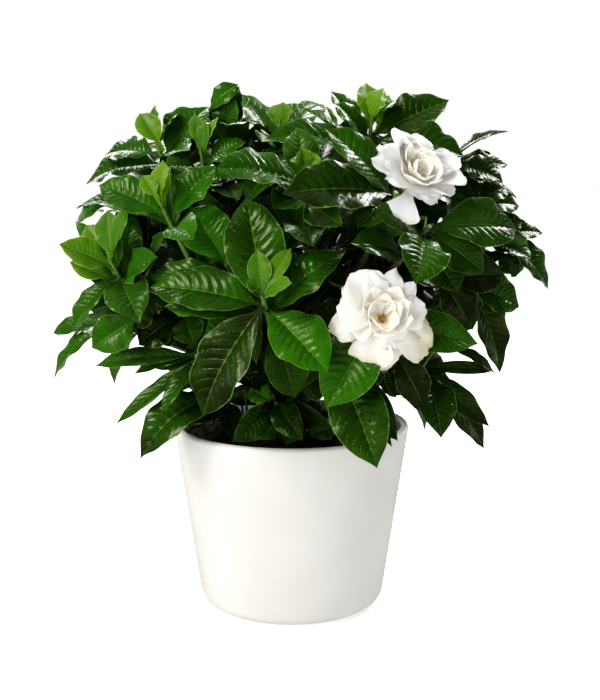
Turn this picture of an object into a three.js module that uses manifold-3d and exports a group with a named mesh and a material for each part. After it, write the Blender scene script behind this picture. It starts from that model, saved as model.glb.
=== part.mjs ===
// A potted gardenia: a round, glossy-leaved shrub with two white blooms, in a tapered white ceramic pot.
// Millimetres, +Z up, +X to the right and -Y towards the viewer. The origin is the centre of the pot's base.
import * as THREE from "three";
import { mergeVertices } from "three/addons/utils/BufferGeometryUtils.js";
import Module from "manifold-3d";

const wasm = await Module();
wasm.setup();

// Driving dimensions of the pot and its soil
const RIM_RADIUS = 75;
const BASE_RADIUS = 58; // where the tapered side would meet the ground without its rounded foot
const POT_HEIGHT = 115.5;
const WALL = 5;
const FLOOR = 7;
const FOOT_ROUND = 9;
const INNER_ROUND = 6; // between the inside wall and the floor
const POT_SIDES = 40;
const SOIL_TOP = 107.5;
const SOIL_EDGE = 3; // the height of the soil's rounded rim
const SOIL_HEAP = 2.5; // how much higher the soil is heaped in the middle
const SOIL_RELIEF = 1.6;
const SOIL_CRUMBLE = 0.5;
const SOIL_SIDES = 24;
const SEAT_GAP = 0.3; // between pieces that rest on or in each other

// Driving dimensions of the plant
const CROWN = new THREE.Vector3(-14, -16, SOIL_TOP);
const CROWN_RADIUS = 8;
const CROWN_TAPER = 0.8; // its foot's radius as a share of its top's
const CROWN_DEPTH = 30;
const CROWN_RISE = 5; // the crown's top stands this far out of the soil
const STEM_RADIUS = [4.2, 2.6]; // a main stem's foot and top
const BRANCH_RADIUS = [2.2, 1.7];
const SHOOT_RADIUS = [1.7, 1.3];
const BUD_RADIUS = [1.3, 0.5];
const SHOOT_LENGTH = 30;
const YOUNG_STEM = 11;
const STALK_RADIUS = 1.5;
const DOME = { centre: new THREE.Vector3(0, 0, 198), reach: new THREE.Vector3(104, 112, 90) };
const LEAF_SPREAD = 0.4; // a leaf's width as a share of its length
const LEAF_HALF_THICKNESS = 0.55;
const PETIOLE = 5;
const PETIOLE_HALF = 1.7;
const YOUNG_WIDTH = 12;
const LEAF_CLEARANCE = 0.7; // kept round every leaf

// The photograph's view: a level camera line, tipped down by `pitch`, that a pixel is traced back along
const VIEW = { distance: 700, height: 272.5, aside: 5.4, pitch: 9, focal: 1117, middle: [300, 350] };
const VIEWER = new THREE.Vector3(0, -1, 0.2);

// The tops of the main stems, which all rise from one crown
const STEM_TOPS = [
  [-42, -44, 196],
  [-48, 22, 206],
  [22, -46, 190],
  [50, 2, 204],
  [6, 44, 214],
];

// Shoots that the photograph shows. `at` is the shoot's tip and each leaf's first three numbers are its own
// tip: pixel column, pixel row and how far it stands forward of the pot's axis. A leaf's fourth number is its
// width, the fifth how far its face turns towards the viewer, and the sixth its arch as a share of its
// length. `axis` is the shoot's direction, `fill` the number of leaves that grow by rule below those listed.
const SHOWN_SHOOTS = [
  {
    name: "front", at: [264, 302, 108], axis: [-0.1, -0.8, 0.55], fill: 0,
    leaves: [[203, 416, 98, 34], [149, 287, 84, 30], [328, 373, 128, 31], [246, 197, 78, 33, 0.4],
      [165, 281, 104, 25], [348, 250, 92, 27], [200, 346, 70, 26], [295, 398, 84, 24]],
    young: [[257, 249, 104, 13], [292, 283, 138, 12], [291, 248, 98, 10], [246, 282, 122, 9]],
  },
  {
    name: "left_low", at: [117, 272, 62], axis: [-0.25, -0.6, 0.75], fill: 0,
    leaves: [[74, 328, 60, 15, 0.4], [140, 323, 100, 26, 1], [75, 221, 30, 10, 0.4], [158, 257, 84, 22, 1],
      [134, 214, 40, 18, 1]],
    young: [[59, 244, 70, 20], [86, 225, 50, 15], [108, 210, 58, 16], [129, 205, 72, 10]],
  },
  {
    name: "left_mid", at: [166, 214, 80], axis: [-0.35, -0.45, 0.82], fill: 1,
    leaves: [[99, 185, 62, 23, 0.8], [216, 166, 74, 22, 1], [64, 219, 20, 16, 0.3], [194, 240, 112, 20, 0.6]],
    young: [[163, 160, 78, 13], [170, 167, 92, 12], [143, 177, 76, 10]],
  },
  {
    name: "inner_left", at: [226, 264, 84], axis: [-0.3, -0.7, 0.6], fill: 1,
    leaves: [[169, 207, 100, 31, 0.6], [137, 274, 84, 18, 0.4], [214, 212, 70, 24, 1]],
    young: [],
  },
  {
    name: "top_left", at: [160, 152, 30], axis: [-0.35, -0.15, 0.92], fill: 1,
    leaves: [[104, 156, 14, 24, 0.8], [199, 99, 18, 28, 1.5], [86, 184, 20, 32, 0.7], [190, 150, 56, 24, 1]],
    young: [[155, 105, 28, 15], [180, 112, 24, 12]],
  },
  {
    name: "top_middle_left", at: [203, 166, 50], axis: [-0.1, -0.3, 0.95], fill: 1,
    leaves: [[246, 142, 52, 20, 0.8], [162, 160, 60, 20, 0.8], [240, 176, 62, 22, 0.8]],
    young: [[206, 121, 52, 11], [218, 117, 52, 9], [194, 114, 44, 9]],
  },
  {
    name: "top_rear", at: [224, 142, 0], axis: [-0.05, 0.1, 1], fill: 1,
    leaves: [[239, 86, 4, 20, 1], [236, 100, 12, 24, 1.5], [252, 117, -8, 16, 0.8], [186, 100, 6, 20, 1]],
    young: [],
  },
  {
    name: "top_centre", at: [280, 138, 15], axis: [0, -0.1, 1], fill: 3,
    leaves: [[246, 121, 20, 12], [262, 142, 40, 22, 0.8], [252, 158, 44, 20, 0.8]],
    young: [[283, 102, 14, 18], [270, 108, 8, 9]],
  },
  {
    name: "centre", at: [306, 182, 80], axis: [0, -0.5, 0.86], fill: 1,
    leaves: [[216, 168, 100, 29, 0.7], [297, 127, 60, 20, 1], [280, 158, 74, 20, 1], [272, 208, 96, 20, 0.8]],
    young: [[302, 147, 84, 12], [315, 153, 80, 12], [333, 168, 88, 11], [290, 160, 84, 9]],
  },
  {
    name: "top_right", at: [370, 134, 35], axis: [0.1, -0.15, 0.98], fill: 0,
    leaves: [[449, 100, 26, 28, 1.5, 0.04], [466, 149, 44, 28, 1.2], [342, 94, 44, 19, 1],
      [331, 91, 24, 20, 0.8], [266, 139, 50, 24, 0.8], [299, 106, 14, 13], [362, 158, 72, 20, 1]],
    young: [[366, 83, 22, 16], [384, 88, 36, 20], [396, 100, 30, 14]],
  },
  {
    name: "right_top", at: [452, 157, 5], axis: [0.5, -0.1, 0.85], fill: 2,
    leaves: [[508, 131, 0, 12], [503, 182, 10, 24, 1], [508, 165, -10, 18, 1], [517, 198, 0, 18, 0.8]],
    young: [],
  },
  {
    name: "upper_bloom_shoot", at: [396, 192, 78], axis: [0.3, -0.5, 0.75], fill: 0,
    leaves: [[282, 194, 106, 33, 1.3], [318, 134, 80, 24, 0.8], [360, 222, 104, 20, 1],
      [354, 164, 92, 22, 0.8]],
    young: [],
  },
  {
    name: "right_mid", at: [430, 226, 88], axis: [0.4, -0.7, 0.6], fill: 0,
    leaves: [[517, 230, 62, 30, 1], [488, 267, 84, 24, 1], [415, 284, 120, 29, 1], [372, 210, 104, 20, 1],
      [460, 288, 96, 24, 0.8]],
    young: [],
  },
  {
    name: "far_right", at: [497, 232, 10], axis: [0.8, -0.1, 0.6], fill: 1,
    leaves: [[548, 289, 6, 24, 1], [543, 233, -6, 15, 0.8], [523, 221, 16, 20, 1], [530, 265, 26, 24, 1]],
    young: [],
  },
  {
    name: "right_low", at: [470, 282, 36], axis: [0.6, -0.65, 0.2], fill: 1,
    leaves: [[500, 373, 30, 24, 0.8], [519, 307, 30, 24, 0.8], [505, 322, 4, 18, 0.8], [430, 312, 70, 22, 1]],
    young: [],
  },
  {
    name: "front_bloom_shoot", at: [376, 324, 100], axis: [0.1, -0.95, 0.2], fill: 0,
    leaves: [[326, 408, 118, 31, 1], [478, 344, 96, 24, 0.6], [306, 326, 88, 28, 1]],
    young: [],
  },
  {
    name: "low_front_right", at: [338, 368, 78], axis: [0.2, -0.85, 0.15], fill: 0,
    leaves: [[377, 468, 112, 32, 1], [398, 441, 92, 22, 1], [392, 447, 104, 16, 0.6], [300, 390, 60, 24, 1]],
    young: [],
  },
  {
    name: "low_right", at: [422, 368, 66], axis: [0.5, -0.65, 0.15], fill: 0,
    leaves: [[441, 438, 92, 24, 1], [490, 427, 62, 16, 0.8, 0.04], [484, 449, 44, 18, 0.8],
      [494, 371, 40, 8, 0.4, 0.14], [424, 413, 60, 18, 1]],
    young: [],
  },
  {
    name: "low_left", at: [196, 356, 60], axis: [-0.5, -0.6, 0.05], fill: 0,
    leaves: [[95, 366, 34, 13], [116, 424, 56, 11, 0, 0.02], [134, 374, 44, 9], [161, 414, 70, 12],
      [153, 368, 34, 9]],
    young: [],
  },
  {
    name: "rim_left", at: [218, 398, 40], axis: [-0.7, -0.65, -0.1], length: 14, fill: 0,
    leaves: [[140, 459, 62, 28, 0.4, 0.24], [190, 410, 10, 20]],
    young: [],
  },
  {
    name: "rim_front", at: [276, 404, 40], axis: [0.05, -0.95, -0.15], length: 14, fill: 0,
    leaves: [[232, 442, 66, 18], [303, 441, 66, 18, 0.6], [332, 428, 54, 15], [322, 412, 20, 18]],
    young: [],
  },
  {
    name: "far_left_low", at: [106, 322, 28], axis: [-0.8, -0.4, 0.35], fill: 0,
    leaves: [[54, 378, 22, 17, 0.4], [58, 338, 8, 13], [92, 338, 56, 20, 0.8], [150, 330, 60, 26, 1]],
    young: [],
  },
];

// Shoots on the sides that the photograph hides, spread over the back of the dome by the golden angle
const HIDDEN_SHOOTS = 14;
const HIDDEN_LEAVES = 6;
const HIDDEN_LIFT = 0.35; // how far a hidden shoot turns up from straight outwards
const HIDDEN_ARC = { from: 10, sweep: 160 }; // level degrees, from the viewer's right round the back
const HIDDEN_HEIGHTS = { top: 0.98, drop: 1.35 }; // of the dome's half height, from the first shoot down
const GOLDEN_STEP = 0.618; // of the arc, from one hidden shoot to the next
const FIRST_STEP = 0.15;
const YOUNG_EVERY = 4; // one hidden shoot in so many carries pale young leaves
const RULE_YOUNG = 3; // and so many of them

// Blooms: the middle of each flower as a pixel and a forward distance, and the way it faces
const BLOOMS = [
  {
    name: "bloom_front", shoot: "front_bloom_shoot",
    at: [383, 318, 122], axis: [0.12, -0.93, 0.34], open: 1, size: 1,
  },
  {
    name: "bloom_upper", shoot: "upper_bloom_shoot",
    at: [421, 168, 98], axis: [0.38, -0.62, 0.68], open: 0.96, size: 1.1,
  },
];
// Whorls of petals from the outside in: how many, length, width, the angle to the bloom's axis at foot and
// tip, and how far up the heart they grow
const WHORLS = [
  { petals: 7, length: 26, width: 21, foot: 58, tip: 108, turn: 0, up: 0 },
  { petals: 6, length: 21, width: 18, foot: 42, tip: 82, turn: 26, up: 3 },
  { petals: 5, length: 14, width: 12, foot: 22, tip: 50, turn: 9, up: 6, inner: true },
];
const PETAL_HALF_THICKNESS = 0.45;
const FACE_DEPTH = 12; // from the middle of a bloom's face back to its heart
const HEART_RADIUS = 4;
const TUBE = { foot: -6, head: 7, radii: [2.6, HEART_RADIUS], sides: 8 }; // along the axis, from the heart
const PISTIL = { foot: 6, head: 14, radii: [1.2, 1.8], sides: 6 };
const CALYX = { length: 9, radii: [1.9, 3.2], sides: 7 };

// Materials
const paint = (color, roughness) => new THREE.MeshStandardMaterial({ color, roughness, metalness: 0 });
const GLAZE = paint(0xf2f0ea, 0.35);
const SOIL = paint(0x2a1c14, 0.95);
const BARK = paint(0x6b5a3c, 0.8);
const LEAF = paint(0x1f4a17, 0.3);
const YOUNG_LEAF = paint(0x79a832, 0.35);
const PETAL = paint(0xf7f4ea, 0.55);

const degrees = THREE.MathUtils.degToRad;
const UP = new THREE.Vector3(0, 0, 1);
const vector = ([x, y, z]) => new THREE.Vector3(x, y, z);

// One seeded source of random draws, from 0 to 1
let seed = 20261;
function draw() {
  seed = (seed * 16807) % 2147483647;
  return seed / 2147483647;
}
const jitter = (size) => (2 * draw() - 1) * size;
const listOf = (count, make) => Array.from({ length: count }, (_, i) => make(i));

// The point behind a pixel of the photograph that stands `forward` of the pot's axis
function seen(column, row, forward) {
  const pitch = degrees(VIEW.pitch);
  const right = (column - VIEW.middle[0]) / VIEW.focal;
  const rise = (VIEW.middle[1] - row) / VIEW.focal;
  const ray = new THREE.Vector3(
    right,
    Math.cos(pitch) + rise * Math.sin(pitch),
    rise * Math.cos(pitch) - Math.sin(pitch),
  );
  return new THREE.Vector3(VIEW.aside, -VIEW.distance, VIEW.height).addScaledVector(
    ray,
    (VIEW.distance - forward) / ray.y,
  );
}

// Solids: every mesh becomes a manifold, is joined or cut, and comes back as a geometry

const MERGE_DISTANCE = 1e-4;
const SLIVER = 0.05;

function solidFrom(geometry) {
  geometry.deleteAttribute("normal");
  geometry.deleteAttribute("uv");
  const merged = mergeVertices(geometry, MERGE_DISTANCE);
  const kept = [];
  const index = merged.index.array;
  for (let i = 0; i < index.length; i += 3) {
    const [a, b, c] = index.slice(i, i + 3);
    if (a !== b && b !== c && c !== a) kept.push(a, b, c);
  }
  return new wasm.Manifold(
    new wasm.Mesh({
      numProp: 3,
      vertProperties: new Float32Array(merged.attributes.position.array),
      triVerts: new Uint32Array(kept),
    }),
  );
}

function meshOf(name, solid, material) {
  const { numProp, vertProperties, triVerts } = solid.getMesh();
  const position = [];
  for (let i = 0; i < vertProperties.length; i += numProp)
    position.push(...vertProperties.slice(i, i + 3));
  const geometry = new THREE.BufferGeometry()
    .setAttribute("position", new THREE.Float32BufferAttribute(position, 3))
    .setIndex(Array.from(triVerts));
  const mesh = new THREE.Mesh(geometry, material);
  mesh.name = name;
  return mesh;
}

// The biggest body of a union: a scrap that the cuts left loose is dropped, and slivers are smoothed away
function oneBody(solids) {
  const joined = solids.reduce((sum, solid) => sum.add(solid));
  const biggest = joined.decompose().reduce((best, body) => (body.volume() > best.volume() ? body : best));
  return biggest.simplify(SLIVER);
}

const boundsOf = (solid) => {
  const { min, max } = solid.boundingBox();
  return new THREE.Box3(vector(min), vector(max));
};

// A tapered rod along a curve, bent from a straight cylinder
function rod(curve, [footRadius, topRadius], sides, steps) {
  const geometry = new THREE.CylinderGeometry(topRadius, footRadius, 1, sides, steps);
  const position = geometry.attributes.position;
  const point = new THREE.Vector3();
  for (let i = 0; i < position.count; i++) {
    point.fromBufferAttribute(position, i);
    const along = point.y + 0.5;
    const tangent = curve.getTangent(along);
    const side = sideOf(tangent);
    const lift = new THREE.Vector3().crossVectors(tangent, side);
    const bent = curve.getPoint(along).addScaledVector(side, point.x).addScaledVector(lift, -point.z);
    position.setXYZ(i, bent.x, bent.y, bent.z);
  }
  return solidFrom(geometry);
}

const UPRIGHT = 0.05; // an axis that leans by less than this sine counts as upright

// A level direction across `axis`, or +X where the axis is upright
function sideOf(axis) {
  const side = new THREE.Vector3().crossVectors(axis, UP);
  return side.length() < UPRIGHT ? new THREE.Vector3(1, 0, 0) : side.normalize();
}

// A closed blade from rows of points: the border is one sharp edge, and inside it each point stands off
// the middle surface by half the thickness on both faces, which are split into triangles alike
function pillow(rows, offsets) {
  const columns = rows[0].length;
  const last = rows.length - 1;
  const position = [];
  for (const face of [1, -1])
    rows.forEach((row, i) =>
      row.forEach((point, j) => {
        const onBorder = i === 0 || i === last || j === 0 || j === columns - 1;
        const moved = point.clone();
        if (!onBorder) moved.addScaledVector(offsets[i][j], face);
        position.push(moved.x, moved.y, moved.z);
      }),
    );
  const at = (face, i, j) => (face * rows.length + i) * columns + j;
  const index = [];
  for (let i = 0; i < last; i++)
    for (let j = 0; j < columns - 1; j++) {
      // The diagonals lean towards the middle column, the same way on both faces
      const left = j < (columns - 1) / 2;
      const quad = left
        ? [[i, j], [i, j + 1], [i + 1, j + 1], [i, j], [i + 1, j + 1], [i + 1, j]]
        : [[i, j], [i, j + 1], [i + 1, j], [i, j + 1], [i + 1, j + 1], [i + 1, j]];
      for (let k = 0; k < 6; k += 3) {
        const [a, b, c] = quad.slice(k, k + 3);
        index.push(at(0, ...a), at(0, ...b), at(0, ...c));
        index.push(at(1, ...a), at(1, ...c), at(1, ...b));
      }
    }
  const geometry = new THREE.BufferGeometry()
    .setAttribute("position", new THREE.Float32BufferAttribute(position, 3))
    .setIndex(index);
  return solidFrom(geometry);
}

// Leaves

// Rows of a leaf from its petiole to near its tip: share of the length, half width and edge wave
const FINE_ROWS = [
  { share: 0.3, half: 0.86, wave: 1 },
  { share: 0.56, half: 1, wave: -1 },
  { share: 0.82, half: 0.6, wave: 1 },
];
const PLAIN_ROWS = [
  { share: 0.38, half: 1, wave: 1 },
  { share: 0.76, half: 0.74, wave: -1 },
];
const KEEL = 0.22; // how far the edges rise above the midrib, as a share of the half width
const WAVE = 0.07; // the edges' wave, as a share of the half width
const PETIOLE_THICK = 1.5; // its thickness as a multiple of the blade's
const ROOT_DEPTH = 0.6; // how far a leaf's root runs past the middle of its stem

// The frame of a leaf: its midrib as a curve that arches towards the side it faces
function leafFrame(leaf) {
  const along = leaf.tip.clone().sub(leaf.root);
  const length = along.length();
  const direction = along.clone().normalize();
  const facing = leaf.facing.clone().addScaledVector(direction, -leaf.facing.dot(direction)).normalize();
  const crest = leaf.root.clone().addScaledVector(along, 0.5).addScaledVector(facing, 2 * leaf.arch * length);
  const across = new THREE.Vector3().crossVectors(direction, facing);
  return { length, facing, across, midrib: new THREE.QuadraticBezierCurve3(leaf.root, crest, leaf.tip) };
}

// A leaf's solid. `spare` widens and thickens it, for testing that it lies clear of what is near.
function leafSolid(leaf, spare = 0) {
  const { length, across, midrib } = leafFrame(leaf);
  const half = leaf.width / 2;
  const stations = [
    { share: PETIOLE / length, half: PETIOLE_HALF / half, wave: 0, thick: PETIOLE_THICK },
    ...(leaf.fine ? FINE_ROWS : PLAIN_ROWS).map((row) => ({ ...row, thick: 1 })),
  ];
  const start = leaf.root.clone().addScaledVector(midrib.getTangent(0), -ROOT_DEPTH);
  const end = leaf.tip.clone().addScaledVector(midrib.getTangent(1), spare);
  const rows = [[start, start, start]];
  const offsets = [[]];
  for (const station of stations) {
    const middle = midrib.getPoint(station.share);
    const normal = new THREE.Vector3().crossVectors(across, midrib.getTangent(station.share)).normalize();
    const reach = station.half * half;
    const edge = (side) =>
      middle
        .clone()
        .addScaledVector(across, side * (reach + spare))
        .addScaledVector(normal, reach * (KEEL + side * station.wave * WAVE));
    const offset = normal.clone().multiplyScalar(station.thick * LEAF_HALF_THICKNESS + spare);
    rows.push([edge(-1), middle, edge(1)]);
    offsets.push([null, offset, null]);
  }
  rows.push([end, end, end]);
  offsets.push([]);
  return pillow(rows, offsets);
}

// A leaf that would cross another is bent clear: it swings sideways and lifts by these steps, and shortens
const BENDS = [[0, 0]];
for (const step of [7, 14, 22, 31])
  for (const [swing, lift] of [[0, 1], [1, 0], [-1, 0], [0, -1], [1, 1], [-1, 1], [1, -1], [-1, -1]])
    BENDS.push([swing * step, lift * step]);
const SHORTER = [1, 0.86, 0.72];

function* tries(leaf) {
  const { facing, across } = leafFrame(leaf);
  for (const share of SHORTER)
    for (const [swing, lift] of BENDS) {
      const reach = leaf.tip
        .clone()
        .sub(leaf.root)
        .multiplyScalar(share)
        .applyAxisAngle(across, degrees(lift))
        .applyAxisAngle(facing, degrees(swing));
      yield { ...leaf, tip: leaf.root.clone().add(reach), width: leaf.width * Math.sqrt(share) };
    }
}

// Everything placed so far, each with the node that it belongs to
const placed = [];
function place(node, solid, kind) {
  placed.push({ node, solid, kind, bounds: boundsOf(solid) });
  return solid;
}

// Whether a leaf's widened solid lies clear. A leaf may touch the stem it grows on, and meets the leaves
// of its own node only near their roots.
function liesClear(node, solid, bladeOnly) {
  const bounds = boundsOf(solid);
  const bladeBounds = boundsOf(bladeOnly);
  return placed.every((other) => {
    const own = other.node === node;
    if (own && other.kind === "stem") return true;
    if (!other.bounds.intersectsBox(own ? bladeBounds : bounds)) return true;
    return (own ? bladeOnly : solid).intersect(other.solid).volume() <= 0;
  });
}

const BLADE_START = 0.5; // at most, along the midrib
const BLADE_ARCH = 0.8; // of the whole leaf's arch

// The outer part of a leaf, from which a neighbour on the same stem must keep away
function bladeOf(leaf) {
  const { length, midrib } = leafFrame(leaf);
  const start = Math.min(BLADE_START, (2 * PETIOLE) / length);
  return { ...leaf, root: midrib.getPoint(start), arch: leaf.arch * BLADE_ARCH };
}

function growLeaf(node, leaf) {
  for (const bent of tries(leaf)) {
    if (!liesClear(node, leafSolid(bent, LEAF_CLEARANCE), leafSolid(bladeOf(bent), 0))) continue;
    return place(node, leafSolid(bent), "leaf");
  }
  return null;
}

// Shoots

const WHORL_SIZE = 3;
const ROOT_STEP = 3; // along the stem, from one leaf to the next below it
const FIRST_ROOT = 2.2; // the top leaf's distance below the shoot's tip
const WHORL_ANGLES = [42, 66, 86, 104];
const WHORL_LENGTHS = [52, 64, 72, 68];
const DROOP = 0.12; // how far a leaf's tip sinks, as a share of its length
const SHOWN_ARCH = 0.1;
const RULE_LIFT = 0.5; // how far a leaf's face turns up from its shoot's direction
const SHOWN_LIFT = 0.3;
const RULE_SWAY = { turn: 16, lean: 10, length: 0.12, width: 0.1, arch: 0.04 }; // either way, at random
const SHOWN_SWAY = { lift: 0.2, arch: 0.03 };

const rootOf = (shoot, number) =>
  shoot.tip.clone().addScaledVector(shoot.axis, -(FIRST_ROOT + ROOT_STEP * number));

// A unit direction that leans away from a shoot's axis, turned about it
function leaning(axis, turn, lean) {
  const side = sideOf(axis).applyAxisAngle(axis, degrees(turn));
  const along = axis.clone().multiplyScalar(Math.cos(degrees(lean)));
  return along.addScaledVector(side, Math.sin(degrees(lean)));
}

// Leaves by rule: whorls of three down the stem, each turned by half a gap from the one above
function ruleLeaf(shoot, number) {
  const whorl = Math.floor(number / WHORL_SIZE) % WHORL_ANGLES.length;
  const gap = 360 / WHORL_SIZE;
  const turn = shoot.phase + (number % WHORL_SIZE) * gap + (whorl * gap) / 2 + jitter(RULE_SWAY.turn);
  const lean = WHORL_ANGLES[whorl] + jitter(RULE_SWAY.lean);
  const length = WHORL_LENGTHS[whorl] * (1 + jitter(RULE_SWAY.length));
  const root = rootOf(shoot, number);
  const reach = leaning(shoot.axis, turn, lean);
  const tip = root.clone().addScaledVector(reach, length).addScaledVector(UP, -DROOP * length);
  const facing = shoot.axis.clone().addScaledVector(UP, RULE_LIFT);
  const width = length * LEAF_SPREAD * (1 + jitter(RULE_SWAY.width));
  return { root, tip, facing, width, arch: SHOWN_ARCH + jitter(RULE_SWAY.arch) };
}

function shownLeaf(shoot, [column, row, forward, width, face = 0, arch = SHOWN_ARCH], number) {
  const root = rootOf(shoot, number);
  const lift = SHOWN_LIFT + jitter(SHOWN_SWAY.lift);
  const facing = shoot.axis.clone().addScaledVector(UP, lift).addScaledVector(VIEWER, face);
  const tip = seen(column, row, forward);
  return { root, tip, facing, width, arch: arch + jitter(SHOWN_SWAY.arch), fine: true };
}

// Young leaves stand on their bud's stem above the shoot's tip
const YOUNG_ARCH = 0.05;
const FIRST_YOUNG_ROOT = 2.2;
const YOUNG_ROOT_STEP = 2.4;
const YOUNG_RULE = { lean: 24, leanStep: 11, turn: 137.5, length: 30 };
const YOUNG_SWAY = { lean: 3, length: 5 };

const youngRootOf = (shoot, number) =>
  shoot.tip.clone().addScaledVector(shoot.axis, FIRST_YOUNG_ROOT + YOUNG_ROOT_STEP * number);

function youngLeaf(shoot, [column, row, forward, width], number) {
  const root = youngRootOf(shoot, number);
  return { root, tip: seen(column, row, forward), facing: shoot.axis.clone(), width, arch: YOUNG_ARCH };
}

function ruleYoungLeaf(shoot, number) {
  const lean = YOUNG_RULE.lean + YOUNG_RULE.leanStep * number + jitter(YOUNG_SWAY.lean);
  const reach = leaning(shoot.axis, shoot.phase + YOUNG_RULE.turn * number, lean);
  const root = youngRootOf(shoot, number);
  const length = YOUNG_RULE.length + jitter(YOUNG_SWAY.length);
  const tip = root.clone().addScaledVector(reach, length);
  return { root, tip, facing: shoot.axis.clone(), width: YOUNG_WIDTH, arch: YOUNG_ARCH };
}

function hiddenShoot(number) {
  const share = (number + 0.5) / HIDDEN_SHOOTS;
  const around = degrees(HIDDEN_ARC.from + HIDDEN_ARC.sweep * ((number * GOLDEN_STEP + FIRST_STEP) % 1));
  const height = HIDDEN_HEIGHTS.top - HIDDEN_HEIGHTS.drop * share;
  const level = Math.sqrt(1 - height * height);
  const outward = new THREE.Vector3(Math.cos(around) * level, Math.sin(around) * level, height);
  const axis = outward.clone().addScaledVector(UP, HIDDEN_LIFT).normalize();
  const young = number % YOUNG_EVERY === 0;
  return { name: "back_" + (number + 1), tip: outward.multiply(DOME.reach).add(DOME.centre), axis, young };
}

function allShoots() {
  const shown = SHOWN_SHOOTS.map((shoot) => ({
    ...shoot,
    tip: seen(...shoot.at),
    axis: vector(shoot.axis).normalize(),
    phase: 360 * draw(),
  }));
  const hidden = listOf(HIDDEN_SHOOTS, (i) => ({ ...hiddenShoot(i), phase: 360 * draw() }));
  return [...shown, ...hidden];
}

// The curve of a shoot's green stem, from the end of its branch to its tip
function shootCurve(shoot) {
  const foot = shoot.tip.clone().addScaledVector(shoot.axis, -(shoot.length ?? SHOOT_LENGTH));
  return new THREE.LineCurve3(foot, shoot.tip);
}

// Wood: one crown in the soil, five main stems and a branch to every shoot

const STEM_BEND = new THREE.Vector3(0.35, 0.35, 0.65); // of a stem's way: it rises first and then spreads
const BRANCH_RISE = 0.55; // how much lower a branch leaves its stem, as a share of its level reach
const FORK = { usual: 0.7, lowest: 0.2, highest: 0.97 }; // places along a main stem
const BRANCH_BEND = 0.5; // how long a branch runs along its shoot's line, as a share of its reach
const CROWN_SIDES = 10;
const STEM_SIDES = 6;
const SHOOT_SIDES = 4; // also of the branches and buds

function mainStemCurve(top) {
  const high = vector(top);
  const bend = high.clone().sub(CROWN).multiply(STEM_BEND).add(CROWN);
  return new THREE.QuadraticBezierCurve3(CROWN.clone(), bend, high);
}

function branchCurve(shoot, stems) {
  const end = shoot.tip.clone().addScaledVector(shoot.axis, -(shoot.length ?? SHOOT_LENGTH) - SEAT_GAP);
  const level = (point) => Math.hypot(point.x - end.x, point.y - end.y);
  const stem = stems.reduce((best, one) => (level(one.getPoint(1)) < level(best.getPoint(1)) ? one : best));
  const low = stem.getPoint(0).z;
  const high = stem.getPoint(1).z;
  const height = end.z - BRANCH_RISE * level(stem.getPoint(FORK.usual));
  const share = THREE.MathUtils.clamp((height - low) / (high - low), FORK.lowest, FORK.highest);
  const fork = stem.getPoint(share);
  const bend = end.clone().addScaledVector(shoot.axis, -BRANCH_BEND * fork.distanceTo(end));
  return new THREE.QuadraticBezierCurve3(fork, bend, end);
}

// The root crown, or with `room` the plain hole in the soil that it stands in
function crownGeometry(room) {
  const foot = CROWN_TAPER * CROWN_RADIUS + room;
  const crown = new THREE.CylinderGeometry(CROWN_RADIUS + room, foot, CROWN_DEPTH + 2 * room, CROWN_SIDES);
  crown.rotateX(Math.PI / 2);
  return crown.translate(CROWN.x, CROWN.y, CROWN.z + CROWN_RISE - CROWN_DEPTH / 2);
}

function wood(shoots) {
  const stems = STEM_TOPS.map(mainStemCurve);
  return [
    solidFrom(crownGeometry(0)),
    ...stems.map((curve) => rod(curve, STEM_RADIUS, STEM_SIDES, 4)),
    ...shoots.map((shoot) => rod(branchCurve(shoot, stems), BRANCH_RADIUS, SHOOT_SIDES, 2)),
  ];
}

// Pot and soil

function arc(x, y, radius, from, to, steps) {
  return listOf(steps + 1, (i) => {
    const angle = degrees(from + ((to - from) * i) / steps);
    return new THREE.Vector2(x + radius * Math.cos(angle), y + radius * Math.sin(angle));
  });
}

const TAPER = (RIM_RADIUS - BASE_RADIUS) / POT_HEIGHT;
const outerRadius = (height) => BASE_RADIUS + TAPER * height;
const innerRadius = (height) => outerRadius(height) - WALL;

function lathe(profile, sides) {
  const geometry = new THREE.LatheGeometry(profile, sides);
  geometry.rotateX(Math.PI / 2);
  return solidFrom(geometry);
}

function pot() {
  const footCentre = outerRadius(FOOT_ROUND) - FOOT_ROUND;
  const lip = WALL / 2;
  const lipHeight = POT_HEIGHT - lip;
  const roundTop = FLOOR + INNER_ROUND;
  const profile = [
    new THREE.Vector2(0, 0),
    ...arc(footCentre, FOOT_ROUND, FOOT_ROUND, -90, -6, 4),
    ...arc(outerRadius(lipHeight) - lip, lipHeight, lip, 0, 180, 4),
    ...arc(innerRadius(roundTop) - INNER_ROUND, roundTop, INNER_ROUND, 0, -90, 2),
    new THREE.Vector2(0, FLOOR),
  ];
  return lathe(profile, POT_SIDES);
}

// The soil's crumbly top: heaped a little round the crown, uneven by a formula
function soilHeight(x, y) {
  const heap = SOIL_HEAP * (1 - Math.hypot(x, y) / RIM_RADIUS);
  const relief = SOIL_RELIEF * Math.sin(0.21 * x + 1.3) * Math.cos(0.17 * y - 0.4);
  return SOIL_TOP + heap + relief + SOIL_CRUMBLE * Math.sin(0.6 * x - 0.5 * y);
}

const SOIL_RINGS = [0.93, 0.75, 0.5, 0.25]; // from the rim in

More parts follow.
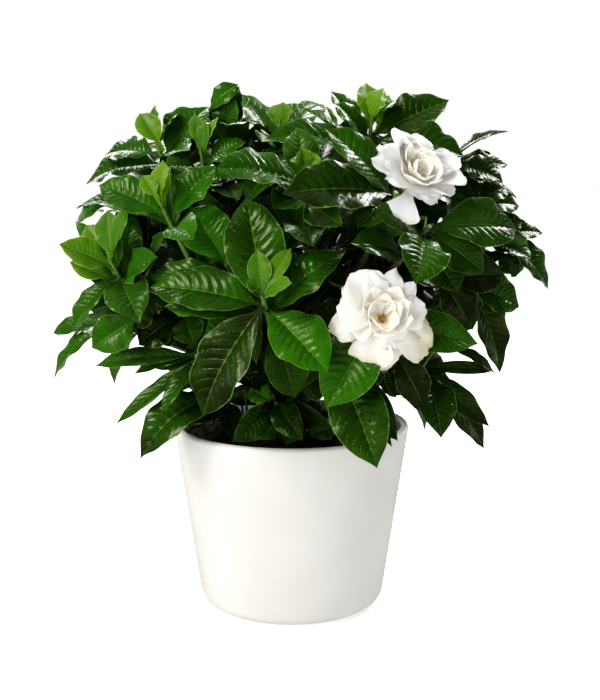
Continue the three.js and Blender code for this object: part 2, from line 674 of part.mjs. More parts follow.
function soil() {
  const radius = innerRadius(SOIL_TOP - SOIL_EDGE) - SEAT_GAP;
  const low = FLOOR + INNER_ROUND + SEAT_GAP;
  const profile = [
    new THREE.Vector2(0, FLOOR + SEAT_GAP),
    new THREE.Vector2(innerRadius(low) - INNER_ROUND - 1, FLOOR + SEAT_GAP),
    new THREE.Vector2(innerRadius(low) - SEAT_GAP, low),
    new THREE.Vector2(radius, SOIL_TOP - SOIL_EDGE),
    ...SOIL_RINGS.map((share) => new THREE.Vector2(share * radius, SOIL_TOP)),
    new THREE.Vector2(0, SOIL_TOP),
  ];
  const geometry = new THREE.LatheGeometry(profile, SOIL_SIDES);
  geometry.rotateX(Math.PI / 2);
  const position = geometry.attributes.position;
  for (let i = 0; i < position.count; i++)
    if (position.getZ(i) > SOIL_TOP - 1) position.setZ(i, soilHeight(position.getX(i), position.getY(i)));
  const hole = crownGeometry(SEAT_GAP);
  return solidFrom(geometry).subtract(solidFrom(hole));
}

// Blooms

const PETAL_SHARES = [0.24, 0.66, 1]; // rows along a petal
const PETAL_HALVES = [0.4, 1, 0.3]; // and their half widths
const OUTER_SIDES = [-1, -0.5, 0, 0.5, 1];
const INNER_SIDES = [-1, 0, 1];
const PETAL_CUP = 0.2; // how far a petal's edges curl in, as a share of its half width
const PETAL_LEAN = 15; // turns each petal about its own length, so that its edge passes over its neighbour's
const NOTCH = 0.1; // how far a petal's middle stands out past its shoulders
const FOOT_OUT = 0.4 * HEART_RADIUS; // where a petal's foot grows, from the bloom's axis
const LINE_STEPS = 12;
const PETAL_SWAY = { draws: 8, turn: 7 }; // random turns for each bloom, either way in degrees

// The middle line of a petal bends away from the bloom's axis, from the foot's angle to the tip's
function petalLine(bloom, whorl, share) {
  const step = (bloom.size * whorl.length * share) / LINE_STEPS;
  const angleAt = (part) => degrees((whorl.foot + (whorl.tip - whorl.foot) * part * share) * bloom.open);
  let out = FOOT_OUT;
  let rise = whorl.up;
  for (let i = 0; i < LINE_STEPS; i++) {
    out += Math.sin(angleAt((i + 0.5) / LINE_STEPS)) * step;
    rise += Math.cos(angleAt((i + 0.5) / LINE_STEPS)) * step;
  }
  return { out, rise, angle: angleAt(1) };
}

function petal(bloom, whorl, number) {
  const turn = degrees(whorl.turn + (360 / whorl.petals) * number + bloom.jitters[number]);
  const radial = sideOf(bloom.axis).applyAxisAngle(bloom.axis, turn);
  const level = new THREE.Vector3().crossVectors(radial, bloom.axis);
  const foot = bloom.heart.clone().addScaledVector(bloom.axis, whorl.up);
  const sides = whorl.inner ? INNER_SIDES : OUTER_SIDES;
  const rows = [sides.map(() => foot)];
  const offsets = [[]];
  PETAL_SHARES.forEach((share, i) => {
    const { out, rise, angle } = petalLine(bloom, whorl, share);
    const along = radial.clone().multiplyScalar(Math.sin(angle)).addScaledVector(bloom.axis, Math.cos(angle));
    const across = level.clone().applyAxisAngle(along, degrees(PETAL_LEAN));
    const inward = new THREE.Vector3().crossVectors(across, along);
    const middle = bloom.heart.clone().addScaledVector(bloom.axis, rise).addScaledVector(radial, out);
    const half = (PETAL_HALVES[i] * bloom.size * whorl.width) / 2;
    rows.push(
      sides.map((side) =>
        middle
          .clone()
          .addScaledVector(across, side * half)
          .addScaledVector(inward, PETAL_CUP * half * side * side)
          .addScaledVector(along, -NOTCH * whorl.length * side * side * share),
      ),
    );
    offsets.push(sides.map(() => inward.clone().multiplyScalar(PETAL_HALF_THICKNESS)));
  });
  return pillow(rows, offsets);
}

// A bloom's heart is where its petals meet, at the head of its short white tube
function bloomSolids(bloom) {
  const on = (distance) => bloom.heart.clone().addScaledVector(bloom.axis, distance);
  const petals = WHORLS.flatMap((whorl) => listOf(whorl.petals, (i) => petal(bloom, whorl, i)));
  const rods = [TUBE, PISTIL].map(({ foot, head, radii, sides }) =>
    rod(new THREE.LineCurve3(on(foot), on(head)), radii, sides, 1),
  );
  return [...rods, ...petals];
}

const STALK_BEND = 0.4; // how long a stalk runs along its bloom's axis, as a share of its reach
const STALK_START = 1.2; // how far inside its shoot's tip it starts
const STALK_OVERLAP = 1; // and how far it ends inside the calyx

// The green stalk and calyx that carry a bloom, from its shoot's tip
function calyx(bloom, shoot) {
  const cup = bloom.heart.clone().addScaledVector(bloom.axis, TUBE.foot - SEAT_GAP);
  const foot = cup.clone().addScaledVector(bloom.axis, -CALYX.length);
  const bend = foot.clone().addScaledVector(bloom.axis, -STALK_BEND * foot.distanceTo(shoot.tip));
  const start = shoot.tip.clone().addScaledVector(shoot.axis, -STALK_START);
  const end = foot.clone().addScaledVector(bloom.axis, STALK_OVERLAP);
  const stalk = new THREE.QuadraticBezierCurve3(start, bend, end);
  return [
    rod(stalk, [STALK_RADIUS, STALK_RADIUS], 5, 3),
    rod(new THREE.LineCurve3(foot, cup), CALYX.radii, CALYX.sides, 1),
  ];
}

function allBlooms() {
  return BLOOMS.map((bloom) => ({
    ...bloom,
    axis: vector(bloom.axis).normalize(),
    heart: seen(...bloom.at).addScaledVector(vector(bloom.axis).normalize(), -FACE_DEPTH),
    jitters: listOf(PETAL_SWAY.draws, () => jitter(PETAL_SWAY.turn)),
  }));
}

// Assembly

const group = new THREE.Group();
const show = (name, solid, material) => group.add(meshOf(name, solid, material));

const shoots = allShoots();
const blooms = allBlooms();

show("pot", place("pot", pot(), "pot"), GLAZE);
show("soil", place("soil", soil(), "soil"), SOIL);

const woodSolids = wood(shoots);
woodSolids.forEach((solid) => place("woody_stems", solid, "stem"));
show("woody_stems", oneBody(woodSolids), BARK);

// Each shoot's own solids: first its stem, then what grows on it
const grownOn = new Map();
for (const shoot of shoots) {
  const stem = rod(shootCurve(shoot), SHOOT_RADIUS, SHOOT_SIDES, 1);
  grownOn.set(shoot.name, [place(shoot.name, stem, "stem")]);
}

for (const bloom of blooms) {
  const shoot = shoots.find(({ name }) => name === bloom.shoot);
  for (const solid of calyx(bloom, shoot)) grownOn.get(shoot.name).push(place(shoot.name, solid, "stem"));
  const solids = bloomSolids(bloom);
  solids.forEach((solid) => place(bloom.name, solid, "petal"));
  show(bloom.name, oneBody(solids), PETAL);
}

// Young leaves first, since they stand in the middle of each shoot; then the leaves that the photograph
// shows; then those that grow by rule, which give way to all the others
for (const shoot of shoots) {
  const name = "young_" + shoot.name;
  const byRule = shoot.young === true;
  const count = byRule ? RULE_YOUNG : (shoot.young || []).length;
  if (!count) continue;
  const foot = shoot.tip.clone().addScaledVector(shoot.axis, SEAT_GAP);
  const bud = new THREE.LineCurve3(foot, foot.clone().addScaledVector(shoot.axis, YOUNG_STEM));
  const solids = [place(name, rod(bud, BUD_RADIUS, SHOOT_SIDES, 1), "stem")];
  for (let i = 0; i < count; i++) {
    const leaf = byRule ? ruleYoungLeaf(shoot, i) : youngLeaf(shoot, shoot.young[i], i);
    const grown = growLeaf(name, leaf);
    if (grown) solids.push(grown);
  }
  show(name, oneBody(solids), YOUNG_LEAF);
}

for (const shoot of shoots)
  (shoot.leaves ?? []).forEach((numbers, i) => {
    const grown = growLeaf(shoot.name, shownLeaf(shoot, numbers, i));
    if (grown) grownOn.get(shoot.name).push(grown);
  });

for (const shoot of shoots) {
  const first = shoot.leaves ? shoot.leaves.length : 0;
  const count = shoot.leaves ? shoot.fill : HIDDEN_LEAVES;
  for (let i = 0; i < count; i++) {
    const grown = growLeaf(shoot.name, ruleLeaf(shoot, first + i));
    if (grown) grownOn.get(shoot.name).push(grown);
  }
  show("shoot_" + shoot.name, oneBody(grownOn.get(shoot.name)), LEAF);
}

export default group;
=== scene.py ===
"""The looks of a potted gardenia: glossy quilted leaves, two white blooms, dark soil and a glazed pot.

Lengths are in millimetres and become metres where a mesh is made. The plant's layout repeats the solids' own:
the same shoots and leaves grow from the same seeded draws, and each leaf is looked up in its solid.
"""

import math
from itertools import islice

import bpy
import numpy as np
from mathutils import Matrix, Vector
from mathutils.bvhtree import BVHTree
from mathutils.kdtree import KDTree


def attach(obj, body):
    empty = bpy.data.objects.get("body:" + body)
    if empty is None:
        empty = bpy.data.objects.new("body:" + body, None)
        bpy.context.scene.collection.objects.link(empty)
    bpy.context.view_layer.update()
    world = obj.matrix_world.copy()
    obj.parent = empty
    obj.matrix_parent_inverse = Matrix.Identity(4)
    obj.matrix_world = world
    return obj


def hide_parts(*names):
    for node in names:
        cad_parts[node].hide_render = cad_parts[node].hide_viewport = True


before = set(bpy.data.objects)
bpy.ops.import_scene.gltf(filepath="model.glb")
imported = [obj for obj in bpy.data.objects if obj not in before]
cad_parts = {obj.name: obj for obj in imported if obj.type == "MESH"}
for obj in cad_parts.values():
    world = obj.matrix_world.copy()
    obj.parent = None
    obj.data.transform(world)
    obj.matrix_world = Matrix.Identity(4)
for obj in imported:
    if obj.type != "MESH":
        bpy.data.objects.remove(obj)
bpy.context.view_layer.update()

MM = 0.001
TURN = 2 * math.pi
UP = np.array([0.0, 0.0, 1.0])

# Pot and soil
RIM_RADIUS = 75
BASE_RADIUS = 58
POT_HEIGHT = 115.5
POT_SIDES = 128
POT_STEPS = 14  # round its foot, over its lip and up each side
WALL = 5
FLOOR = 7
FOOT_ROUND = 9
FLOOR_ROUND = 6
FLOOR_STEPS = 6
SOIL_TOP = 107.5
SOIL_SIDES = 120
SOIL_RINGS = 44
SOIL_SHOULDER = 3  # from the top of the soil's side up to its crumbly top
SOIL_CHAMFER = 7
SOIL_HEAP = 2.5
SOIL_RELIEF = (1.6, 0.5)  # of its broad and its narrow waves
SOIL_ROUGHNESS = 0.45  # of its crumbly top
CRUMBS = 900
CRUMB_SIZE = (0.5, 1.7)
SEAT_GAP = 0.3

# Plant
CROWN = np.array([-14, -16, SOIL_TOP])
CROWN_RADIUS = (6.4, 7.2)
CROWN_DEPTH = 30
CROWN_RISE = 5
STEM_TOPS = [(-42, -44, 196), (-48, 22, 206), (22, -46, 190), (50, 2, 204), (6, 44, 214)]
STEM_RADIUS = (4.2, 2.6)
BRANCH_RADIUS = (2.2, 1.7)
BRANCH_RISE = 0.55
SHOOT_RADIUS = (1.7, 1.3)
BUD_RADIUS = (1.3, 0.5)
SHOOT_LENGTH = 30
DOME_CENTRE = np.array([0, 0, 198])
DOME_REACH = np.array([104, 112, 90])
LEAF_SPREAD = 0.4
PETIOLE = 5

# The photograph's view, tipped down by `pitch`; the focal length and the middle are in its pixels
VIEW = {"distance": 700, "height": 272.5, "aside": 5.4, "pitch": 9, "focal": 1117, "middle": (300, 350)}
FRAME_HEIGHT = 700
SENSOR = 36


def shown(name, at, axis, leaves, tones, young=(), fill=0, length=SHOOT_LENGTH):
    """A shoot that the photograph shows, and how many leaves by rule fill it up.

    `at` is the shoot's tip and each leaf's first three numbers are its own tip: pixel column, pixel row and
    how far it stands forward of the pot's axis. A leaf's fourth number is its width, the fifth how far its
    face turns towards the viewer, and the sixth its arch as a share of its length. `tones` says how light
    each leaf is, from 0 to 1: partly its own tone and partly painted light and shade, lighter on the viewer's
    left and darker on the right and deep inside.
    """
    return dict(
        name=name, at=at, axis=axis, leaves=leaves, tones=tones, fill=fill, length=length,
        young=young, young_by_rule=0,
    )


SHOWN_SHOOTS = [
    shown("front", (264, 302, 108), (-0.1, -0.8, 0.55),
          [(203, 416, 98, 34), (149, 287, 84, 30), (328, 373, 128, 31), (246, 197, 78, 33, 0.4),
           (165, 281, 104, 25), (348, 250, 92, 27), (200, 346, 70, 26), (295, 398, 84, 24)],
          (0.06, 0.42, 1, 0.35, 0.6, 0.45, 0.5, 0.35),
          [(257, 249, 104, 13), (292, 283, 138, 12), (291, 248, 98, 10), (246, 282, 122, 9)]),
    shown("left_low", (117, 272, 62), (-0.25, -0.6, 0.75),
          [(74, 328, 60, 15, 0.4), (140, 323, 100, 26, 1), (75, 221, 30, 10, 0.4), (158, 257, 84, 22, 1),
           (134, 214, 40, 18, 1)],
          (0.6, 0.5, 0.9, 0.7, 0.8),
          [(59, 244, 70, 20), (86, 225, 50, 15), (108, 210, 58, 16), (129, 205, 72, 10)]),
    shown("left_mid", (166, 214, 80), (-0.35, -0.45, 0.82),
          [(99, 185, 62, 23, 0.8), (216, 166, 74, 22, 1), (64, 219, 20, 16, 0.3),
           (194, 240, 112, 20, 0.6)],
          (0.6, 0.7, 0.55, 0.85),
          [(163, 160, 78, 13), (170, 167, 92, 12), (143, 177, 76, 10)], fill=1),
    shown("inner_left", (226, 264, 84), (-0.3, -0.7, 0.6),
          [(169, 207, 100, 31, 0.6), (137, 274, 84, 18, 0.4), (214, 212, 70, 24, 1)],
          (1, 0.5, 0.7), fill=1),
    shown("top_left", (160, 152, 30), (-0.35, -0.15, 0.92),
          [(104, 156, 14, 24, 0.8), (199, 99, 18, 28, 1.5), (86, 184, 20, 32, 0.7),
           (190, 150, 56, 24, 1)],
          (0.45, 0.6, 0.35, 0.7),
          [(155, 105, 28, 15), (180, 112, 24, 12)], fill=1),
    shown("top_middle_left", (203, 166, 50), (-0.1, -0.3, 0.95),
          [(246, 142, 52, 20, 0.8), (162, 160, 60, 20, 0.8), (240, 176, 62, 22, 0.8)],
          (0.6, 0.65, 0.6),
          [(206, 121, 52, 11), (218, 117, 52, 9), (194, 114, 44, 9)], fill=1),
    shown("top_rear", (224, 142, 0), (-0.05, 0.1, 1),
          [(239, 86, 4, 20, 1), (236, 100, 12, 24, 1.5), (252, 117, -8, 16, 0.8), (186, 100, 6, 20, 1)],
          (0.4, 0.5, 0.4, 0.5), fill=1),
    shown("top_centre", (280, 138, 15), (0, -0.1, 1),
          [(246, 121, 20, 12), (262, 142, 40, 22, 0.8), (252, 158, 44, 20, 0.8)],
          (0.5, 0.55, 0.5),
          [(283, 102, 14, 18), (270, 108, 8, 9)], fill=3),
    shown("centre", (306, 182, 80), (0, -0.5, 0.86),
          [(216, 168, 100, 29, 0.7), (297, 127, 60, 20, 1), (280, 158, 74, 20, 1),
           (272, 208, 96, 20, 0.8)],
          (0.6, 0.5, 0.5, 0.3),
          [(302, 147, 84, 12), (315, 153, 80, 12), (333, 168, 88, 11), (290, 160, 84, 9)], fill=1),
    shown("top_right", (370, 134, 35), (0.1, -0.15, 0.98),
          [(449, 100, 26, 28, 1.5, 0.04), (466, 149, 44, 28, 1.2), (342, 94, 44, 19, 1),
           (331, 91, 24, 20, 0.8), (266, 139, 50, 24, 0.8), (299, 106, 14, 13), (362, 158, 72, 20, 1)],
          (0.25, 0.2, 0.55, 0.6, 0.5, 0.5, 0.4),
          [(366, 83, 22, 16), (384, 88, 36, 20), (396, 100, 30, 14)]),
    shown("right_top", (452, 157, 5), (0.5, -0.1, 0.85),
          [(508, 131, 0, 12), (503, 182, 10, 24, 1), (508, 165, -10, 18, 1), (517, 198, 0, 18, 0.8)],
          (0.25, 0.15, 0.35, 0.4), fill=2),
    shown("upper_bloom_shoot", (396, 192, 78), (0.3, -0.5, 0.75),
          [(282, 194, 106, 33, 1.3), (318, 134, 80, 24, 0.8), (360, 222, 104, 20, 1),
           (354, 164, 92, 22, 0.8)],
          (0.12, 0.5, 0.2, 0.3)),
    shown("right_mid", (430, 226, 88), (0.4, -0.7, 0.6),
          [(517, 230, 62, 30, 1), (488, 267, 84, 24, 1), (415, 284, 120, 29, 1), (372, 210, 104, 20, 1),
           (460, 288, 96, 24, 0.8)],
          (0.3, 0.15, 0.4, 0.2, 0.25)),
    shown("far_right", (497, 232, 10), (0.8, -0.1, 0.6),
          [(548, 289, 6, 24, 1), (543, 233, -6, 15, 0.8), (523, 221, 16, 20, 1), (530, 265, 26, 24, 1)],
          (0.2, 0.1, 0.15, 0.15), fill=1),
    shown("right_low", (470, 282, 36), (0.6, -0.65, 0.2),
          [(500, 373, 30, 24, 0.8), (519, 307, 30, 24, 0.8), (505, 322, 4, 18, 0.8),
           (430, 312, 70, 22, 1)],
          (0.15, 0.35, 0.15, 0.3), fill=1),
    shown("front_bloom_shoot", (376, 324, 100), (0.1, -0.95, 0.2),
          [(326, 408, 118, 31, 1), (478, 344, 96, 24, 0.6), (306, 326, 88, 28, 1)],
          (0.62, 0.55, 0.1)),
    shown("low_front_right", (338, 368, 78), (0.2, -0.85, 0.15),
          [(377, 468, 112, 32, 1), (398, 441, 92, 22, 1), (392, 447, 104, 16, 0.6),
           (300, 390, 60, 24, 1)],
          (0.34, 0.2, 0.15, 0.2)),
    shown("low_right", (422, 368, 66), (0.5, -0.65, 0.15),
          [(441, 438, 92, 24, 1), (490, 427, 62, 16, 0.8, 0.04), (484, 449, 44, 18, 0.8),
           (494, 371, 40, 8, 0.4, 0.14), (424, 413, 60, 18, 1)],
          (0.15, 0.15, 0.1, 0.1, 0.15)),
    shown("low_left", (196, 356, 60), (-0.5, -0.6, 0.05),
          [(95, 366, 34, 13), (116, 424, 56, 11, 0, 0.02), (134, 374, 44, 9), (161, 414, 70, 12),
           (153, 368, 34, 9)],
          (0.4, 0.35, 0.3, 0.3, 0.3)),
    shown("rim_left", (218, 398, 40), (-0.7, -0.65, -0.1),
          [(140, 459, 62, 28, 0.4, 0.24), (190, 410, 10, 20)],
          (0.2, 0.15), length=14),
    shown("rim_front", (276, 404, 40), (0.05, -0.95, -0.15),
          [(232, 442, 66, 18), (303, 441, 66, 18, 0.6), (332, 428, 54, 15), (322, 412, 20, 18)],
          (0.2, 0.22, 0.2, 0.15), length=14),
    shown("far_left_low", (106, 322, 28), (-0.8, -0.4, 0.35),
          [(54, 378, 22, 17, 0.4), (58, 338, 8, 13), (92, 338, 56, 20, 0.8), (150, 330, 60, 26, 1)],
          (0.5, 0.4, 0.45, 0.4)),
]

HIDDEN_SHOOTS = 14
HIDDEN_LEAVES = 6
YOUNG_EVERY = 4
RULE_YOUNG = 3

# `at` is the middle of a bloom's face, `pistil` how far its pistil reaches from its heart, and `rounded` how
# far its petals' ends are arcs. The lower bloom is the older one, with a warmer colour; the upper bloom's
# darker, greyer colour is painted shade.
BLOOMS = [
    dict(name="bloom_front", shoot="front_bloom_shoot", at=(383, 318, 122), axis=(0.12, -0.93, 0.34),
         stamens=7, pistil=10, rounded=0, skin_and_shade=(0.95, 0.92, 0.84)),
    # The upper bloom's darker, greyer petal colour below is painted shade.
    dict(name="bloom_upper", shoot="upper_bloom_shoot", at=(421, 168, 98), axis=(0.38, -0.62, 0.68),
         stamens=0, pistil=8, rounded=0.85, skin_and_shade=(0.75, 0.745, 0.72)),
]
FACE_DEPTH = 12  # from the middle of a bloom's face back to its heart
PETAL_DRAWS = 8  # that the solids' petals take for each bloom
HEART_RADIUS = 4
TUBE_DEPTH = 6  # of the foot of the tube that holds its petals, below the heart
PISTIL_FOOT = 6
CALYX_LENGTH = 9
LOBES = 5
LOBE_LENGTH = 13


# Vectors, curves and draws


def array(values):
    return np.array(values, float)


def unit(vector):
    return vector / np.linalg.norm(vector)


def turned(vector, axis, degrees):
    """The vector turned about a unit axis."""
    angle = math.radians(degrees)
    across = np.cross(axis, vector)
    level = vector * math.cos(angle) + across * math.sin(angle)
    return level + axis * (axis @ vector) * (1 - math.cos(angle))


def side_of(axis):
    """A level direction across the axis, or +X where the axis is upright."""
    side = np.cross(axis, UP)
    return array([1, 0, 0]) if np.linalg.norm(side) < 0.05 else unit(side)


def leaning(axis, turn, lean):
    """A unit direction that leans away from an axis, turned about it."""
    side = turned(side_of(axis), axis, turn)
    return axis * math.cos(math.radians(lean)) + side * math.sin(math.radians(lean))


def smooth(value, low, high):
    share = np.clip((value - low) / (high - low), 0, 1)
    return share * share * (3 - 2 * share)


class Draws:
    """A seeded source of random draws, the same as the solids'."""

    def __init__(self, seed):
        self.seed = seed

    def draw(self):
        self.seed = (self.seed * 16807) % 2147483647
        return self.seed / 2147483647

    def jitter(self, size):
        return (2 * self.draw() - 1) * size


class Curve:
    """A quadratic curve, or a straight line if it has no bend."""

    def __init__(self, start, bend, end):
        self.start, self.bend, self.end = start, (start + end) / 2 if bend is None else bend, end

    def point(self, t):
        t = np.asarray(t, float)[..., None]
        return (1 - t) ** 2 * self.start + 2 * t * (1 - t) * self.bend + t**2 * self.end

    def tangent(self, t):
        t = np.asarray(t, float)[..., None]
        way = (1 - t) * (self.bend - self.start) + t * (self.end - self.bend)
        return way / np.linalg.norm(way, axis=-1, keepdims=True)


PITCH = math.radians(VIEW["pitch"])
EYE = array([VIEW["aside"], -VIEW["distance"], VIEW["height"]])


def seen(column, row, forward):
    """The point behind a pixel of the photograph that stands `forward` of the pot's axis."""
    right = (column - VIEW["middle"][0]) / VIEW["focal"]
    rise = (VIEW["middle"][1] - row) / VIEW["focal"]
    ray = array([
        right,
        math.cos(PITCH) + rise * math.sin(PITCH),
        rise * math.cos(PITCH) - math.sin(PITCH),
    ])
    return EYE + ray * (VIEW["distance"] - forward) / ray[1]


def pixel_of(points):
    away = points - EYE
    depth = away @ array([0, math.cos(PITCH), -math.sin(PITCH)])
    rise = away @ array([0, math.sin(PITCH), math.cos(PITCH)])
    column = VIEW["middle"][0] + VIEW["focal"] * away[..., 0] / depth
    return np.stack([column, VIEW["middle"][1] - VIEW["focal"] * rise / depth], -1)


LAYOUT_SEED = 20261  # the solids' own
LOOKS_SEED = 11

draws = Draws(LAYOUT_SEED)
looks = np.random.default_rng(LOOKS_SEED)


# Meshes


def add_object(name, data):
    thing = bpy.data.objects.new(name, data)
    bpy.context.scene.collection.objects.link(thing)
    return thing


class Piece:
    """The vertices and faces of one object, gathered before its mesh is made."""

    def __init__(self):
        self.vertices, self.faces, self.slots, self.uvs, self.tones = [], [], [], [], []
        self.count = 0

    def add(self, vertices, *groups, slot=0, uv=None, tone=0.5):
        """Groups hold faces as rows of vertex numbers; slot is one material number, or one for each face."""
        self.vertices.append(vertices)
        for faces in groups:
            self.faces += (np.asarray(faces) + self.count).tolist()
        self.slots.append(np.broadcast_to(slot, sum(map(len, groups))))
        self.uvs.append(np.zeros((len(vertices), 2)) if uv is None else uv)
        self.tones.append(np.broadcast_to(tone, len(vertices)))
        self.count += len(vertices)

    def make(self, name, materials, replaces=(), slot=None, sharp=60):
        mesh = bpy.data.meshes.new(name)
        mesh.from_pydata((np.concatenate(self.vertices) * MM).tolist(), [], self.faces)
        for material in materials:
            mesh.materials.append(material)
        mesh.polygons.foreach_set("material_index", np.concatenate(self.slots).astype(np.int32))
        corners = np.zeros(len(mesh.loops), np.int32)
        mesh.loops.foreach_get("vertex_index", corners)
        layer = mesh.uv_layers.new(name="UVMap")
        layer.data.foreach_set("uv", np.concatenate(self.uvs)[corners].astype(np.float32).ravel())
        tone = mesh.attributes.new("tone", "FLOAT", "POINT")
        tone.data.foreach_set("value", np.concatenate(self.tones).astype(np.float32))
        mesh.shade_smooth()
        mesh.set_sharp_from_angle(angle=math.radians(sharp))
        mesh.update()
        piece = add_object(name, mesh)
        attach(piece, "root")
        if replaces:
            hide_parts(*replaces)


def grid_faces(rows, columns, closed=False):
    """Quads of a grid of points, row by row; a closed grid joins its last column to its first."""
    i, j = np.meshgrid(np.arange(rows - 1), np.arange(columns if closed else columns - 1), indexing="ij")
    after = (j + 1) % columns
    corners = [(i, j), (i, after), (i + 1, after), (i + 1, j)]
    return np.stack([row * columns + column for row, column in corners], -1).reshape(-1, 4)


def grid_uv(along, across):
    """Texture places of a grid, from a share for each row and a share for each column."""
    return np.stack(np.broadcast_arrays(along[:, None], across[None]), -1).reshape(-1, 2)


def fan_faces(first, tip, sides, flip=False):
    """Triangles from a ring of points to its tip."""
    j = np.arange(sides)
    here, after = first + j, first + (j + 1) % sides
    return np.stack([*((here, after) if flip else (after, here)), np.full(sides, tip)], -1)


def add_sheet(piece, top, normal, thickness, slots, uv, tone):
    """A thin closed blade: the top grid, and a bottom grid that meets it all round its border."""
    rows, columns = top.shape[:2]
    border = np.ones((rows, columns), bool)
    border[1:-1, 1:-1] = False
    number = np.arange(rows * columns).reshape(rows, columns)
    under = number.copy()
    under[~border] = rows * columns + np.arange((~border).sum())
    bottom = (top - normal * thickness)[~border]
    quads = grid_faces(rows, columns)
    slot = np.repeat(slots, len(quads))
    uvs = np.concatenate([uv, uv[~border.ravel()]])
    points = np.concatenate([top.reshape(-1, 3), bottom])
    piece.add(points, quads, under.ravel()[quads][:, ::-1], slot=slot, uv=uvs, tone=tone)


def add_tube(piece, curve, radii, sides, steps, slot=0, rough=0.0):
    """A closed tapered tube along a curve; rough is the relief of its bark."""
    share = np.linspace(0, 1, steps + 1)
    middle, way = curve.point(share), curve.tangent(share)
    across = np.zeros_like(way)
    across[0] = side_of(way[0])
    for i in range(1, len(way)):
        across[i] = unit(across[i - 1] - way[i] * (across[i - 1] @ way[i]))
    lift = np.cross(way, across)
    angle = np.linspace(0, TURN, sides, endpoint=False)
    radius = np.interp(share, [0, 1], radii)[:, None] + rough * looks.normal(size=(steps + 1, sides))
    ring = np.cos(angle)[:, None] * across[:, None] + np.sin(angle)[:, None] * lift[:, None]
    points = middle[:, None] + ring * radius[..., None]
    uv = grid_uv(share, angle / TURN)
    piece.add(points.reshape(-1, 3), grid_faces(steps + 1, sides, closed=True), slot=slot, uv=uv)
    ends = np.concatenate([points[0], middle[:1], points[-1], middle[-1:]])
    foot = fan_faces(0, sides, sides)
    head = fan_faces(sides + 1, 2 * sides + 1, sides, flip=True)
    piece.add(ends, foot, head, slot=slot)


def add_lathe(piece, profile, sides):
    """A turned body whose profile starts and ends on the axis."""
    angle = np.linspace(0, TURN, sides, endpoint=False)
    ring = np.stack([np.cos(angle), np.sin(angle)], -1)
    body = profile[1:-1]
    level = body[:, None, :1] * ring[None]
    height = np.broadcast_to(body[:, None, 1:], (len(body), sides, 1))
    points = np.concatenate([level, height], -1).reshape(-1, 3)
    ends = [[0, 0, profile[0][1]], [0, 0, profile[-1][1]]]
    foot = fan_faces(0, len(points), sides)
    head = fan_faces(len(points) - sides, len(points) + 1, sides, flip=True)
    piece.add(np.concatenate([points, ends]), grid_faces(len(body), sides, closed=True), foot, head)


# Leaves

KEEL = 0.22  # how far the edges rise above the midrib, as a share of the half width
WAVE = 0.07  # the edges' wave, as a share of the half width
WAVE_ENDS = {True: (0.3, 0.56), False: (0.38, 0.76)}  # where it is highest and lowest, on a fine leaf or not
ROOT_DEPTH = 0.6  # how far a leaf's root runs past the middle of its stem
TIP_CUT = 0.3  # how much narrower a leaf grows towards its tip
VEINS = 11  # pairs of side veins
VEIN_SLANT = 1.3
VEIN_CURVE = 1.1
RIPPLE = 0.085  # the waviness of its edges, as a share of the half width
RIPPLES = 3.4
QUILT = 0.12  # the bulge between veins, as a share of the half width
CREASE = 0.02
CREASE_HALF = 0.07
LEAF_THICKNESS = 0.55
RIB_SWELL = 2.2  # how much thicker a leaf is along its midrib, at its foot
RIB_HALF = 0.1
PETIOLE_HALF = (1.2, 0.12)  # the part of its half width that fades into the blade, and the part that stays
FINE_GRID = (52, 14)  # steps along and across a leaf that the photograph shows
FILL_GRID = (32, 10)
YOUNG_GRID = (28, 8)
PLAIN_GRID = (22, 8)
LOBE_GRID = (10, 4)
COARSE_GRID = (8, 4)  # for testing what a leaf crosses
COVER_GRID = (24, 8)  # for finding the cells that it covers


def blade(root, tip, facing, width, arch, **more):
    """A leaf to be grown: its foot, its tip, the way its face looks, its width and its arch."""
    return dict(root=root, tip=tip, facing=facing, width=width, arch=arch, **more)


def leaf_frame(leaf):
    along = leaf["tip"] - leaf["root"]
    length = np.linalg.norm(along)
    direction = along / length
    facing = unit(leaf["facing"] - direction * (leaf["facing"] @ direction))
    crest = leaf["root"] + along / 2 + facing * 2 * leaf["arch"] * length
    return length, facing, np.cross(direction, facing), Curve(leaf["root"], crest, leaf["tip"])


BEND_ANGLES = (7, 14, 22, 31)
BEND_WAYS = ((0, 1), (1, 0), (-1, 0), (0, -1), (1, 1), (-1, 1), (1, -1), (-1, -1))
BENDS = [(0, 0)] + [(swing * angle, lift * angle) for angle in BEND_ANGLES for swing, lift in BEND_WAYS]
SHORTER = (1, 0.86, 0.72)


def tries(leaf):
    """The leaf as meant, and bent clear in the steps that the solids' leaves take."""
    _, facing, across, _ = leaf_frame(leaf)
    for share in SHORTER:
        for swing, lift in BENDS:
            reach = turned(turned((leaf["tip"] - leaf["root"]) * share, across, lift), facing, swing)
            yield {**leaf, "tip": leaf["root"] + reach, "width": leaf["width"] * math.sqrt(share)}


